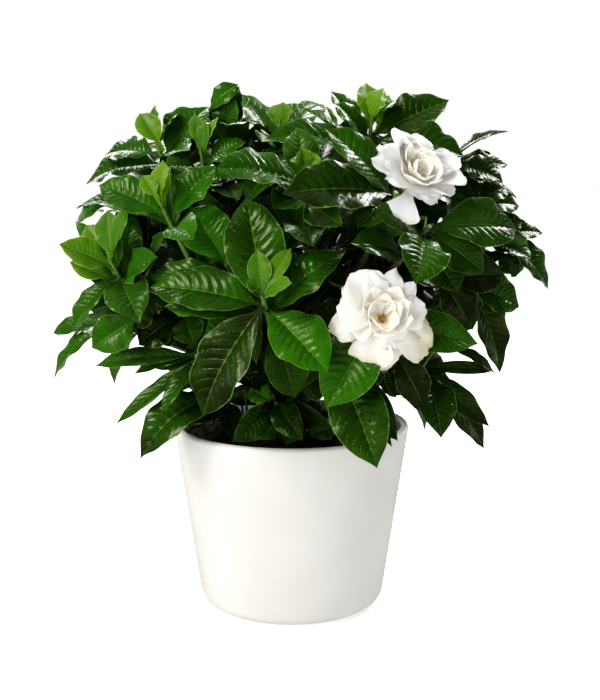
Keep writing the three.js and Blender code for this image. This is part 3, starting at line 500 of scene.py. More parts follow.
def leaf_surface(leaf, grid, quilt=0):
    """The upper surface of a leaf as a grid of points, with its normals, thickness and texture places."""
    length, _, across, midrib = leaf_frame(leaf)
    t = np.linspace(0, 1, grid[0] + 1) ** 0.94
    v = np.linspace(-1, 1, grid[1] + 1)
    edge = np.abs(v)[None]
    start = PETIOLE / length
    s = np.clip((t - start) / (1 - start), 0, 1)
    full = s * (1 - s) ** leaf.get("point", 1)
    full = full / full.max() * (1 - TIP_CUT * smooth(s, 0.84, 1)) * leaf["width"] / 2
    petiole = PETIOLE_HALF[0] * (1 - smooth(s, 0, 0.14)) + PETIOLE_HALF[1]
    half = np.maximum(full, petiole)[:, None]
    way = midrib.tangent(t)
    twist = leaf.get("twist", 0) * t
    lift = np.cross(np.broadcast_to(across, way.shape), way)
    lift /= np.linalg.norm(lift, axis=1, keepdims=True)
    spread = across * np.cos(twist)[:, None] + lift * np.sin(twist)[:, None]
    normal = np.cross(spread, way)
    normal /= np.linalg.norm(normal, axis=1, keepdims=True)
    first, last = WAVE_ENDS[leaf.get("fine", False)]
    wave = np.cos(math.pi * (t - first) / (last - first)) * smooth(t, 0.05, first)
    side = np.sign(v)[None]
    rise = half * edge**1.15 * (KEEL + side * wave[:, None] * WAVE)
    ripple = np.sin(TURN * RIPPLES * s[:, None] + leaf.get("phase", 0) + side) * edge**3 * RIPPLE * half
    vein = VEINS * s[:, None] - VEIN_SLANT * edge - VEIN_CURVE * edge**3
    bulge = quilt * half * np.abs(np.sin(math.pi * vein)) ** 0.7 * (edge * (1 - edge) * 4) ** 0.8
    crease = -CREASE * half * np.exp(-((edge / CREASE_HALF) ** 2))
    height = rise + (ripple + bulge + crease) * smooth(s, 0, 0.1)[:, None]
    middle = midrib.point(t)
    middle[0] -= way[0] * ROOT_DEPTH
    top = middle[:, None] + spread[:, None] * (v[None] * half)[..., None]
    top = top + normal[:, None] * height[..., None]
    swell = 1 + RIB_SWELL * np.exp(-((edge / RIB_HALF) ** 2)) * (1 - s[:, None])
    thickness = LEAF_THICKNESS * np.sqrt(1 - edge**2) * swell
    return top, normal[:, None], thickness[..., None], grid_uv(s, (v + 1) / 2)


def add_leaf(piece, leaf, tone, grid=FILL_GRID, quilt=QUILT, slots=(0, 1)):
    """Slots are the material numbers of a leaf's face and its back."""
    top, normal, thickness, uv = leaf_surface(leaf, grid, quilt)
    add_sheet(piece, top, normal, thickness, slots, uv, tone)


# Shoots, as the solids have them

WHORL_SIZE = 3
ROOT_STEP = 3
FIRST_ROOT = 2.2
WHORL_ANGLES = (42, 66, 86, 104)
WHORL_LENGTHS = (52, 64, 72, 68)
DROOP = 0.12
RULE_LIFT = 0.5  # how far a face turns up from its shoot's axis
RULE_SWAY = {"turn": 16, "lean": 10, "length": 0.12, "width": 0.1, "arch": 0.04}
SHOWN_LIFT = 0.3
SHOWN_ARCH = 0.1
SHOWN_SWAY = {"lift": 0.2, "arch": 0.03}
VIEWER = array([0, -1, 0.2])
YOUNG_STEM = 11
FIRST_YOUNG_ROOT = 2.2
YOUNG_ROOT_STEP = 2.4
YOUNG_WIDTH = 12
YOUNG_ARCH = 0.05
YOUNG_RULE = {"lean": 24, "lean_step": 11, "turn": 137.5, "length": 30}
YOUNG_SWAY = {"lean": 3, "length": 5}
HIDDEN_LIFT = 0.35  # how far a hidden shoot turns up from straight outwards
HIDDEN_ARC = {"from": 10, "sweep": 160}  # level degrees, from the viewer's right round the back
HIDDEN_HEIGHTS = {"top": 0.98, "drop": 1.35}  # of the dome's half height, from the first shoot down
GOLDEN_STEP = 0.618  # of the arc, from one hidden shoot to the next
FIRST_STEP = 0.15
TIP_MATCH = 0.1  # a leaf is its solid's if it ends this near to one of the solid's vertices


def root_of(shoot, number):
    return shoot["tip"] - shoot["axis"] * (FIRST_ROOT + ROOT_STEP * number)


def young_root_of(shoot, number):
    return shoot["tip"] + shoot["axis"] * (FIRST_YOUNG_ROOT + YOUNG_ROOT_STEP * number)


def rule_leaf(shoot, number):
    """Whorls of three down the stem, each turned by half a gap from the one above."""
    whorl = (number // WHORL_SIZE) % len(WHORL_ANGLES)
    gap = 360 / WHORL_SIZE
    turn = shoot["phase"] + (number % WHORL_SIZE) * gap + whorl * gap / 2 + draws.jitter(RULE_SWAY["turn"])
    lean = WHORL_ANGLES[whorl] + draws.jitter(RULE_SWAY["lean"])
    length = WHORL_LENGTHS[whorl] * (1 + draws.jitter(RULE_SWAY["length"]))
    root = root_of(shoot, number)
    tip = root + leaning(shoot["axis"], turn, lean) * length - UP * DROOP * length
    width = length * LEAF_SPREAD * (1 + draws.jitter(RULE_SWAY["width"]))
    arch = SHOWN_ARCH + draws.jitter(RULE_SWAY["arch"])
    return blade(root, tip, shoot["axis"] + UP * RULE_LIFT, width, arch)


def shown_leaf(shoot, number, column, row, forward, width, face=0, arch=SHOWN_ARCH):
    facing = shoot["axis"] + UP * (SHOWN_LIFT + draws.jitter(SHOWN_SWAY["lift"])) + VIEWER * face
    arch += draws.jitter(SHOWN_SWAY["arch"])
    return blade(root_of(shoot, number), seen(column, row, forward), facing, width, arch, fine=True)


def young_leaf(shoot, number, column, row, forward, width):
    return blade(young_root_of(shoot, number), seen(column, row, forward), shoot["axis"], width, YOUNG_ARCH)


def rule_young_leaf(shoot, number):
    lean = YOUNG_RULE["lean"] + YOUNG_RULE["lean_step"] * number + draws.jitter(YOUNG_SWAY["lean"])
    reach = leaning(shoot["axis"], shoot["phase"] + YOUNG_RULE["turn"] * number, lean)
    root = young_root_of(shoot, number)
    length = YOUNG_RULE["length"] + draws.jitter(YOUNG_SWAY["length"])
    return blade(root, root + reach * length, shoot["axis"], YOUNG_WIDTH, YOUNG_ARCH)


def hidden_shoot(number):
    """A shoot of the back, in a spiral from the top of the dome down."""
    share = (number + 0.5) / HIDDEN_SHOOTS
    step = (number * GOLDEN_STEP + FIRST_STEP) % 1
    around = math.radians(HIDDEN_ARC["from"] + HIDDEN_ARC["sweep"] * step)
    height = HIDDEN_HEIGHTS["top"] - HIDDEN_HEIGHTS["drop"] * share
    level = math.sqrt(1 - height * height)
    outward = array([math.cos(around) * level, math.sin(around) * level, height])
    return dict(
        name=f"back_{number + 1}", tip=outward * DOME_REACH + DOME_CENTRE,
        axis=unit(outward + UP * HIDDEN_LIFT), leaves=(), fill=HIDDEN_LEAVES, length=SHOOT_LENGTH,
        young=(), young_by_rule=0 if number % YOUNG_EVERY else RULE_YOUNG,
    )


def all_shoots():
    front = [
        {**shoot, "tip": seen(*shoot["at"]), "axis": unit(array(shoot["axis"])), "phase": 360 * draws.draw()}
        for shoot in SHOWN_SHOOTS
    ]
    return front + [{**hidden_shoot(i), "phase": 360 * draws.draw()} for i in range(HIDDEN_SHOOTS)]


def all_blooms():
    """The blooms with their hearts. Each takes as many draws as in the solids, which keeps the order."""
    blooms = []
    for bloom in BLOOMS:
        axis = unit(array(bloom["axis"]))
        blooms.append({**bloom, "axis": axis, "heart": seen(*bloom["at"]) - axis * FACE_DEPTH})
        for _ in range(PETAL_DRAWS):
            draws.draw()
    return blooms


def node_tree(node):
    """The vertices of a CAD node, in millimetres, for looking up a leaf's tip."""
    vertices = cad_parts[node].data.vertices
    tree = KDTree(len(vertices))
    for vertex in vertices:
        tree.insert(vertex.co / MM, vertex.index)
    tree.balance()
    return tree


def as_solid(tree, leaf):
    """The leaf as bent in the solid that the tree holds, or None if the solid has no such leaf."""
    for bent in tries(leaf):
        if tree.find(Vector(bent["tip"]))[2] < TIP_MATCH:
            return bent
    return None


# Wood, as the solids have it


def main_stem(top):
    high = array(top)
    bend = CROWN + (high - CROWN) * array([0.35, 0.35, 0.65])
    return Curve(CROWN, bend, high)


def branch(shoot, stems):
    end = shoot["tip"] - shoot["axis"] * (shoot["length"] + SEAT_GAP)

    def level(point):
        return math.hypot(point[0] - end[0], point[1] - end[1])

    stem = min(stems, key=lambda one: level(one.end))
    height = end[2] - BRANCH_RISE * level(stem.point(0.7))
    share = (height - stem.start[2]) / (stem.end[2] - stem.start[2])
    fork = stem.point(min(max(share, 0.2), 0.97))
    return Curve(fork, end - shoot["axis"] * 0.5 * np.linalg.norm(fork - end), end)


# Materials


class Nodes:
    """A small helper that adds and links the nodes of a material or of the world."""

    def __init__(self, owner, shader):
        owner.use_nodes = True
        self.owner, self.tree = owner, owner.node_tree
        self.shader = self.tree.nodes[shader]

    def add(self, kind, inputs=None, **settings):
        node = self.tree.nodes.new(kind)
        for key, value in settings.items():
            setattr(node, key, value)
        for key, value in (inputs or {}).items():
            if isinstance(value, bpy.types.NodeSocket):
                self.tree.links.new(value, node.inputs[key])
            else:
                node.inputs[key].default_value = value
        return node

    def coordinates(self, kind):
        return self.add("ShaderNodeTexCoord").outputs[kind]

    def uv(self):
        """The texture place along and across a leaf or a petal."""
        place = self.add("ShaderNodeSeparateXYZ", {0: self.coordinates("UV")})
        return place.outputs["X"], place.outputs["Y"]

    def tone(self):
        return self.add("ShaderNodeAttribute", attribute_name="tone").outputs["Fac"]

    def math(self, operation, first, second=0):
        return self.add("ShaderNodeMath", {0: first, 1: second}, operation=operation).outputs[0]

    def times(self, first, second):
        return self.math("MULTIPLY", first, second)

    def minus(self, first, second):
        return self.math("SUBTRACT", first, second)

    def step(self, value, low, high, to_low=0, to_high=1):
        """A smooth step as the value rises from low to high."""
        ends = {"Value": value, "From Min": low, "From Max": high, "To Min": to_low, "To Max": to_high}
        return self.add("ShaderNodeMapRange", ends, interpolation_type="SMOOTHSTEP").outputs["Result"]

    def mix(self, factor, *colours):
        opaque = [one if isinstance(one, bpy.types.NodeSocket) else (*one, 1) for one in colours]
        return self.add("ShaderNodeMix", {0: factor, 6: opaque[0], 7: opaque[1]}, data_type="RGBA").outputs[2]

    def noise(self, scale, detail=3, roughness=0.5, place=None):
        place = self.coordinates("Object") if place is None else place
        traits = {"Vector": place, "Scale": scale, "Detail": detail, "Roughness": roughness}
        return self.add("ShaderNodeTexNoise", traits).outputs["Fac"]

    def link(self, output, socket):
        self.tree.links.new(output, self.shader.inputs[socket])

    def set(self, **values):
        for key, value in values.items():
            self.shader.inputs[key.replace("_", " ")].default_value = value

    def bump(self, height, strength, distance):
        node = self.add("ShaderNodeBump", {"Height": height, "Strength": strength, "Distance": distance})
        self.link(node.outputs["Normal"], "Normal")


def material_nodes(name):
    return Nodes(bpy.data.materials.new(name), "Principled BSDF")


EDGE_HIGHLIGHT = (0.15, 0.24, 0.07)  # a painted highlight along a leaf's thin edge
# the same painted highlight along a young leaf's edge
YOUNG_EDGE_HIGHLIGHT = (0.36, 0.5, 0.2)


def leaf_material(name, dark, light, rib, roughness, vein_depth, vein_tint, rim=EDGE_HIGHLIGHT, **more):
    """Leaf surface: its tone, partly its own and partly painted light and shade, a paler midrib, a painted
    highlight along its rim, side veins pressed in, and an uneven gloss.
    """
    nodes = material_nodes(name)
    along, across = nodes.uv()
    edge = nodes.math("ABSOLUTE", nodes.minus(nodes.times(across, 2), 1))
    place = nodes.minus(nodes.times(along, VEINS), nodes.times(edge, VEIN_SLANT))
    place = nodes.minus(place, nodes.times(nodes.math("POWER", edge, 3), VEIN_CURVE))
    groove = nodes.math("ABSOLUTE", nodes.minus(nodes.math("FRACT", place), 0.5))
    vein = nodes.times(nodes.step(groove, 0.43, 0.5), nodes.step(edge, 0.7, 0.97, 1, 0))
    midrib = nodes.step(edge, 0.012, 0.045, 1, 0)
    patch = nodes.step(nodes.noise(38, 2), 0.35, 0.65, -0.12, 0.12)
    colour = nodes.mix(nodes.math("ADD", nodes.tone(), patch), dark, light)
    colour = nodes.mix(nodes.times(vein, vein_tint), colour, rib)
    colour = nodes.mix(nodes.times(midrib, 0.45), colour, rib)
    # The rim colour at the leaf's edge is a painted highlight.
    nodes.link(nodes.mix(nodes.step(edge, 0.96, 0.985, 0, 0.6), colour, rim), "Base Color")
    nodes.link(nodes.step(nodes.noise(70), 0.3, 0.7, roughness - 0.05, roughness + 0.08), "Roughness")
    height = nodes.minus(nodes.times(nodes.noise(300, 1), 0.03), nodes.times(vein, 0.6))
    nodes.bump(nodes.minus(height, nodes.times(midrib, 0.8)), 0.6, vein_depth)
    nodes.set(**more)
    return nodes.owner


def glossy_leaf():
    return leaf_material(
        "leaf_top", dark=(0.009, 0.017, 0.0008), light=(0.028, 0.118, 0.0008), rib=(0.11, 0.22, 0.025),
        roughness=0.26, vein_depth=0.0005, vein_tint=0.12,
        Specular_IOR_Level=0.29, Specular_Tint=(0.95, 1, 0.7, 1),
    )


def leaf_under():
    return leaf_material(
        "leaf_under", dark=(0.025, 0.07, 0.004), light=(0.055, 0.13, 0.01), rib=(0.1, 0.19, 0.02),
        roughness=0.5, vein_depth=-0.0004, vein_tint=0.3,
    )


def young_top():
    return leaf_material(
        "young_leaf_top", dark=(0.02, 0.09, 0.001), light=(0.085, 0.2, 0.004), rib=(0.22, 0.38, 0.05),
        roughness=0.42, vein_depth=0.0005, vein_tint=0.4, rim=YOUNG_EDGE_HIGHLIGHT,
        Subsurface_Weight=0.12, Subsurface_Scale=0.004, Subsurface_Radius=(0.8, 1, 0.15),
        Specular_IOR_Level=0.28,
    )


def mottled(name, patches, dark, light, roughness, grain, strength):
    """A matt skin between two colours with a fine grain; patches and grain are scales of noise."""
    nodes = material_nodes(name)
    nodes.link(nodes.mix(nodes.noise(patches), dark, light), "Base Color")
    nodes.set(Roughness=roughness)
    nodes.bump(nodes.noise(grain), strength, 0.0003)
    return nodes.owner


def green_stem():
    return mottled("green_stem", 90, (0.05, 0.12, 0.02), (0.13, 0.2, 0.05), 0.5, 300, 0.4)


def pistil_material():
    return mottled("pistil", 500, (0.16, 0.05, 0.006), (0.5, 0.28, 0.04), 0.6, 900, 0.5)


def bark():
    """Grain that runs upwards, with green blotches."""
    nodes = material_nodes("bark")
    stretch = nodes.add("ShaderNodeMapping", {"Vector": nodes.coordinates("Object"), "Scale": (1, 1, 0.3)})
    grain = nodes.noise(260, 6, 0.65, stretch.outputs["Vector"])
    blotch = nodes.step(nodes.noise(45, 2), 0.45, 0.65, 0, 0.6)
    colour = nodes.mix(nodes.step(grain, 0.35, 0.65), (0.06, 0.042, 0.022), (0.2, 0.16, 0.085))
    nodes.link(nodes.mix(blotch, colour, (0.1, 0.12, 0.04)), "Base Color")
    nodes.set(Roughness=0.8)
    nodes.bump(grain, 0.7, 0.0008)
    return nodes.owner


def soil_material():
    nodes = material_nodes("soil")
    crumbs = nodes.noise(330, 6, 0.7)
    colour = nodes.mix(nodes.step(crumbs, 0.35, 0.7), (0.006, 0.004, 0.003), (0.055, 0.033, 0.018))
    nodes.link(colour, "Base Color")
    nodes.set(Roughness=0.95)
    nodes.bump(crumbs, 0.9, 0.0012)
    return nodes.owner


def glaze():
    nodes = material_nodes("glaze")
    cloud = nodes.step(nodes.noise(16), 0.35, 0.65)
    nodes.link(nodes.mix(cloud, (0.605, 0.593, 0.553), (0.64, 0.628, 0.593)), "Base Color")
    nodes.link(nodes.step(nodes.noise(60), 0.3, 0.7, 0.36, 0.46), "Roughness")
    nodes.set(Coat_Weight=0.15, Coat_Roughness=0.25)
    nodes.bump(nodes.noise(28, 2), 0.25, 0.0012)
    return nodes.owner


def petal_material(name, skin_and_shade):
    """Petal surface: the bloom's colour, darker and greyer as painted shade on the upper bloom, creamy near
    the heart, yellowed near the tip where its tone is above zero, and streaked.
    """
    nodes = material_nodes(name)
    along, across = nodes.uv()
    tone = nodes.tone()
    aged = nodes.times(nodes.step(along, 0.3, 0.95), nodes.step(tone, 0, 1))
    aged = nodes.times(aged, nodes.step(nodes.noise(75), 0.3, 0.6, 0.45, 1))
    heart = nodes.times(nodes.step(along, 0, 0.5, 1, 0), 0.7)
    heart = nodes.math("MAXIMUM", heart, nodes.step(tone, -1, 0, 0.75, 0))
    colour = nodes.mix(heart, skin_and_shade, (0.9, 0.83, 0.64))
    nodes.link(nodes.mix(aged, colour, (0.6, 0.55, 0.3)), "Base Color")
    nodes.set(Roughness=0.5, Subsurface_Weight=0.5, Subsurface_Scale=0.003, Subsurface_Radius=(1, 0.93, 0.75))
    streaks = nodes.add("ShaderNodeCombineXYZ", {"X": nodes.times(along, 3), "Y": nodes.times(across, 26)})
    nodes.bump(nodes.noise(1, 2, place=streaks.outputs[0]), 0.3, 0.0006)
    return nodes.owner


FLOOR_GLOW = 0.5  # a pale light table


def floor_material():
    nodes = material_nodes("floor")
    nodes.link(nodes.mix(nodes.noise(3), (0.78, 0.78, 0.78), (0.8, 0.8, 0.8)), "Base Color")
    nodes.set(Roughness=0.9, Specular_IOR_Level=0.1)
    nodes.set(Emission_Color=(1, 1, 1, 1), Emission_Strength=FLOOR_GLOW)
    return nodes.owner


# Pot and soil

TAPER = (RIM_RADIUS - BASE_RADIUS) / POT_HEIGHT


def arc(x, y, radius, start, end, steps):
    angle = np.radians(np.linspace(start, end, steps + 1))
    return np.stack([x + radius * np.cos(angle), y + radius * np.sin(angle)], -1)


def inner_radius(height):
    return BASE_RADIUS + TAPER * height - WALL


def make_pot(material):
    foot = BASE_RADIUS + TAPER * FOOT_ROUND - FOOT_ROUND
    lip = WALL / 2
    top = POT_HEIGHT - lip
    inner = inner_radius(FLOOR + FLOOR_ROUND) - FLOOR_ROUND
    side = np.linspace(0, 1, POT_STEPS)[1:-1, None]
    outer = arc(foot, FOOT_ROUND, FOOT_ROUND, -90, -6, POT_STEPS)
    rim = arc(inner_radius(top) + WALL - lip, top, lip, 0, 180, POT_STEPS)
    floor = arc(inner, FLOOR + FLOOR_ROUND, FLOOR_ROUND, 0, -90, FLOOR_STEPS)
    profile = np.concatenate([
        [[0, 0]], outer, outer[-1] + side * (rim[0] - outer[-1]), rim,
        rim[-1] + side * (floor[0] - rim[-1]), floor, [[0, FLOOR]],
    ])
    piece = Piece()
    add_lathe(piece, profile, POT_SIDES)
    piece.make("pot_glazed", [material], ["pot"], "glaze", sharp=80)


def soil_height(x, y):
    """The height of the soil's top, which is a shallow heap with a broad and a narrow wave."""
    broad, narrow = SOIL_RELIEF
    heap = SOIL_HEAP * (1 - np.hypot(x, y) / RIM_RADIUS)
    waves = broad * np.sin(0.21 * x + 1.3) * np.cos(0.17 * y - 0.4) + narrow * np.sin(0.6 * x - 0.5 * y)
    return SOIL_TOP + heap + waves


def make_soil(material):
    """The soil's body with a crumbly top, and loose crumbs that lie on it."""
    radius = inner_radius(SOIL_TOP - SOIL_SHOULDER) - SEAT_GAP
    foot = FLOOR + SEAT_GAP
    low = FLOOR + FLOOR_ROUND + SEAT_GAP
    rings = [(share * radius, SOIL_TOP) for share in np.linspace(0.985, 0.03, SOIL_RINGS)]
    profile = array([
        (0, foot), (inner_radius(low) - SOIL_CHAMFER, foot), (inner_radius(low) - SEAT_GAP, low),
        (radius, SOIL_TOP - SOIL_SHOULDER), *rings, (0, SOIL_TOP),
    ])
    piece = Piece()
    add_lathe(piece, profile, SOIL_SIDES)
    points = piece.vertices[0]
    top = points[:, 2] > SOIL_TOP - 1
    crumble = looks.normal(size=top.sum()) * SOIL_ROUGHNESS
    points[top, 2] = soil_height(points[top, 0], points[top, 1]) + crumble
    for _ in range(CRUMBS):
        distance = radius * 0.97 * math.sqrt(looks.random())
        around = looks.random() * TURN
        x, y = distance * math.cos(around), distance * math.sin(around)
        add_crumb(piece, array([x, y, soil_height(x, y) + 0.3]), looks.uniform(*CRUMB_SIZE))
    piece.make("soil_crumbly", [material], ["soil"], "soil", sharp=50)


CRUMB = array([(1, 0, 0), (-1, 0, 0), (0, 1, 0), (0, -1, 0), (0, 0, 1), (0, 0, -1)])
CRUMB_FACES = [(0, 2, 4), (2, 1, 4), (1, 3, 4), (3, 0, 4), (2, 0, 5), (1, 2, 5), (3, 1, 5), (0, 3, 5)]


def add_crumb(piece, place, size):
    shape = CRUMB * looks.uniform(0.6, 1.2, (6, 1)) * size
    piece.add(shape + place + looks.normal(size=(6, 3)) * 0.2 * size, CRUMB_FACES)


# Blooms

# The petals of each bloom from the outermost layer to the innermost: pixel column, pixel row and forward
# reach of the tip, width, and how wide the end is (0 pointed, 1 broad, more for a fan with a narrow foot). A
# sixth number is how far the petal has yellowed.
PETALS = {
    "bloom_front": [
        [(342, 285, 106, 19, 0.6, 1), (353, 271, 109, 25, 1), (327, 330, 111, 19, 0.3, 0.7),
         (345, 350, 108, 17, 0.1, 0.6), (398, 359, 105, 23, 1, 0.6), (432, 354, 108, 23, 0.7, 1),
         (430, 327, 106, 21, 0.7, 0.9), (397, 266, 107, 14, 0), (384, 372, 107, 17, 0.3, 1),
         (417, 280, 108, 12, 0)],
        [(338, 303, 115, 27, 1), (366, 370, 114, 25, 1, 0.7), (372, 270, 112, 15, 0.3),
         (412, 287, 111, 14, 0.4), (428, 309, 112, 20, 0.8), (399, 349, 116, 19, 0.7),
         (346, 327, 117, 20, 0.5)],
        [(366, 305, 121, 18, 0.7), (376, 288, 119, 18, 0.6), (400, 288, 119, 18, 0.5),
         (409, 301, 121, 16, 0.5), (413, 318, 122, 15, 0.4), (394, 335, 125, 18, 0.7),
         (371, 328, 123, 16, 0.6)],
        [(373, 303, 125, 13, 0.6), (387, 295, 124, 13, 0.6), (402, 304, 124, 12, 0.6),
         (399, 322, 127, 13, 0.6), (378, 323, 127, 13, 0.6)],
    ],
    "bloom_upper": [
        [(373, 156, 92, 28, 1), (397, 221, 98, 22, 1.9), (467, 177, 84, 18, 1), (440, 200, 96, 26, 1),
         (421, 134, 76, 15, 1), (396, 127, 84, 16, 1), (459, 157, 78, 17, 1), (456, 191, 92, 18, 1)],
        [(387, 176, 103, 23, 1), (425, 199, 102, 24, 1), (406, 133, 84, 12, 0.6), (380, 145, 90, 16, 1),
         (447, 160, 84, 18, 1)],
        [(402, 138, 92, 13, 0.6), (418, 141, 86, 17, 1), (434, 152, 88, 18, 1), (442, 166, 96, 18, 1),
         (428, 183, 106, 24, 1), (404, 172, 106, 18, 0.8)],
        [(409, 146, 97, 12, 0.6), (423, 152, 93, 15, 0.9), (433, 164, 98, 14, 0.9), (424, 177, 105, 17, 1),
         (411, 166, 104, 14, 0.8), (418, 160, 100, 11, 0.7)],
    ],
}
# How far up the heart and how far out a layer's petals have their feet, their arch, their cup, how far their
# ends roll back, and how creamy they are all over, for which a petal's tone is below zero
LAYERS = [
    dict(rise=-1, foot=3.6, arch=0.17, cup=0.16, roll=1.6, cream=0),
    dict(rise=2, foot=3, arch=0.12, cup=0.22, roll=1.6, cream=0),
    dict(rise=5, foot=2.2, arch=-0.1, cup=0.42, roll=0.5, cream=0.5),
    dict(rise=8, foot=1.4, arch=-0.2, cup=0.6, roll=0.5, cream=0.9),
]
PETAL_THICKNESS = 0.45
PETAL_GRID = (24, 16)
PETAL_PLACES = (0, 0.12, 0.35, 0.6, 0.8, 0.92, 1)  # along a petal, for its widths


def petal_outline(t, broad, fan, rounded):
    """A petal's width along its length, from 0 to about 1."""
    widths = (
        0.18, 0.3 - 0.16 * fan, 0.66 - 0.36 * fan, 0.95 - 0.4 * fan,
        0.9 + 0.1 * broad, 0.62 + 0.3 * broad, 0.12 + 0.5 * broad,
    )
    plain = np.interp(t, PETAL_PLACES, widths)
    start = 0.4 + 0.25 * broad + 0.15 * fan
    arched = np.interp(t, (0, 0.35, 0.75), (0.2 - 0.1 * fan, 0.7 - 0.4 * fan, 1))
    arched *= np.sqrt(1 - 0.97 * np.clip((t - start) / (1 - start), 0, 1) ** 2)
    return plain + rounded * (arched - plain)


def add_petal(piece, bloom, layer, column, row, forward, width, broad, aged=0):
    """A petal from the bloom's heart to a tip: cupped, ruffled at its rim, and rolled back at its end."""
    axis, rounded = bloom["axis"], bloom["rounded"]
    tip = seen(column, row, forward)
    out = tip - bloom["heart"]
    radial = unit(out - axis * (out @ axis))
    root = bloom["heart"] + axis * layer["rise"] + radial * layer["foot"]
    length = np.linalg.norm(tip - root)
    along = (tip - root) / length
    facing = axis * (radial @ along) - radial * (axis @ along)
    across = np.cross(along, facing)
    crest = root + (tip - root) * 0.45 + facing * layer["arch"] * 2 * length
    middle = Curve(root, crest, tip)
    share = np.linspace(0, 1, PETAL_GRID[0] + 1)
    share += rounded * (np.sin(share * math.pi / 2) - share)
    fan, broad = max(broad - 1, 0), min(broad, 1)
    half = (petal_outline(share, broad, fan, rounded) * width / 2)[:, None]
    way = middle.tangent(share)
    normal = np.cross(across, way)
    t = share[:, None]
    v = np.linspace(-1, 1, PETAL_GRID[1] + 1)[None]
    side = np.abs(v)
    rim = smooth(t, 0.4, 1)
    size = width / 20 * (1 - 0.45 * rounded)
    phase = looks.random(4) * TURN
    ruffle = 0.8 * np.sin(3.3 * v + phase[0] + t) + 0.5 * np.sin(7 * v + phase[1] + 3 * t)
    roll = -layer["roll"] * (smooth(t, 0.72, 1) ** 2 * (1 + 0.6 * np.sin(2 * v + phase[2])))
    roll = roll - 1.1 * rim * side**4
    swell = 0.5 * np.sin(4.5 * t + phase[3]) * (1 - side**2)
    height = layer["cup"] * half * v**2 + size * (ruffle * rim * (0.35 + side) + roll + swell * rim)
    fringe = 0.05 * np.sin(6 * v + phase[2]) + 0.02 * np.sin(13 * v + phase[1])
    back = -(0.4 - 0.2 * fan) * (1 - rounded) * v**2 + fringe * smooth(t, 0.7, 1)
    back = back * width / 2 * t**2
    points = middle.point(share)[:, None] + across * (v * half)[..., None]
    points = points + normal[:, None] * height[..., None] + way[:, None] * back[..., None]
    thickness = PETAL_THICKNESS * np.sqrt(1 - side**2) * np.ones_like(t)
    uv = grid_uv(share, (v[0] + 1) / 2)
    add_sheet(piece, points, normal[:, None], thickness[..., None], (0, 0), uv, aged - layer["cream"])


def make_bloom(bloom, pistil):
    """Petals in their layers round a short tube, with stamens and a club-shaped pistil in the middle."""
    piece = Piece()

    def on(distance):
        return bloom["heart"] + bloom["axis"] * distance

    head, shoulder = on(bloom["pistil"]), on(bloom["pistil"] - 1)
    add_tube(piece, Curve(on(-TUBE_DEPTH), None, on(7)), (2.6, HEART_RADIUS), 24, 6)
    add_tube(piece, Curve(on(PISTIL_FOOT), None, shoulder), (1.1, 1.7), 12, 5, slot=1)
    add_tube(piece, Curve(shoulder, None, head), (1.7, 0.9), 12, 2, slot=1)
    for layer, petals in zip(LAYERS, PETALS[bloom["name"]]):
        for petal in petals:
            add_petal(piece, bloom, layer, *petal)
    for number in range(bloom["stamens"]):
        turn = 360 / bloom["stamens"] * number + looks.uniform(-14, 14)
        way = leaning(bloom["axis"], turn, looks.uniform(16, 30))
        foot = on(PISTIL_FOOT) + way * 1.5
        reach = looks.uniform(2.6, 4.2)
        bend = foot + way * reach / 2 + bloom["axis"]
        add_tube(piece, Curve(foot, bend, foot + way * reach), (0.8, 0.6), 8, 5, slot=1)
    petal = petal_material(f"petal_{bloom['name']}", bloom["skin_and_shade"])
    piece.make(f"{bloom['name']}_petals", [petal, pistil], [bloom["name"]], "petal", sharp=80)


def add_calyx(piece, bloom, shoot):
    """The stalk, the cup and the five slender lobes under a bloom, in the shoot's own piece."""
    axis = bloom["axis"]
    cup = bloom["heart"] - axis * (TUBE_DEPTH + SEAT_GAP)
    foot = cup - axis * CALYX_LENGTH
    bend = foot - axis * 0.4 * np.linalg.norm(foot - shoot["tip"])
    start = shoot["tip"] - shoot["axis"] * 1.2
    add_tube(piece, Curve(start, bend, foot + axis), (1.5, 1.5), 12, 10, slot=2)
    add_tube(piece, Curve(foot, None, cup), (1.9, 3.2), 14, 4, slot=2)
    for number in range(LOBES):
        way = leaning(axis, 360 / LOBES * number + 10, 40)
        root = foot + axis * 7 + way * 1.5
        add_leaf(piece, blade(root, root + way * LOBE_LENGTH, axis, 3.4, -0.08), 0.8, LOBE_GRID, quilt=0)


# The plant's pieces

# Base tones of leaves added by rule; the inner and gap leaves' lower one is painted shade deep in the shrub
FILL_TONE = 0.42
INNER_SHADED_TONE = 0.2


def tone_with_painted_light(leaf, base):
    """A leaf's tone with painted light and shade: brighter on the viewer's left, where the light falls, and
    darker the further inside it lies, where shade falls.
    """
    tip = leaf["tip"]
    reach = np.linalg.norm((tip - DOME_CENTRE) / DOME_REACH)
    return float(np.clip(base + 0.3 * (reach - 1) - 0.0016 * tip[0] + looks.normal() * 0.16, 0, 1))


def varied(leaf):
    twist = looks.normal() * 0.12
    phase = looks.random() * 6.3
    return {**leaf, "twist": twist, "phase": phase, "point": looks.uniform(0.92, 1.1)}


def make_young(shoot, materials):
    """A shoot's bud with its young leaves, which the photograph shows or the rule adds."""
    leaves = [young_leaf(shoot, number, *numbers) for number, numbers in enumerate(shoot["young"])]
    leaves += [rule_young_leaf(shoot, number) for number in range(shoot["young_by_rule"])]
    if not leaves:
        return
    node = f"young_{shoot['name']}"
    tree = node_tree(node)
    piece = Piece()
    foot = shoot["tip"] + shoot["axis"] * SEAT_GAP
    add_tube(piece, Curve(foot, None, foot + shoot["axis"] * YOUNG_STEM), BUD_RADIUS, 10, 5, slot=2)
    for leaf in leaves:
        leaf = as_solid(tree, leaf)
        if leaf:
            add_leaf(piece, varied(leaf), looks.uniform(0.2, 1), YOUNG_GRID, QUILT * 0.8, (0, 0))
    piece.make(f"{node}_leaves", materials, [node], "young_leaf")


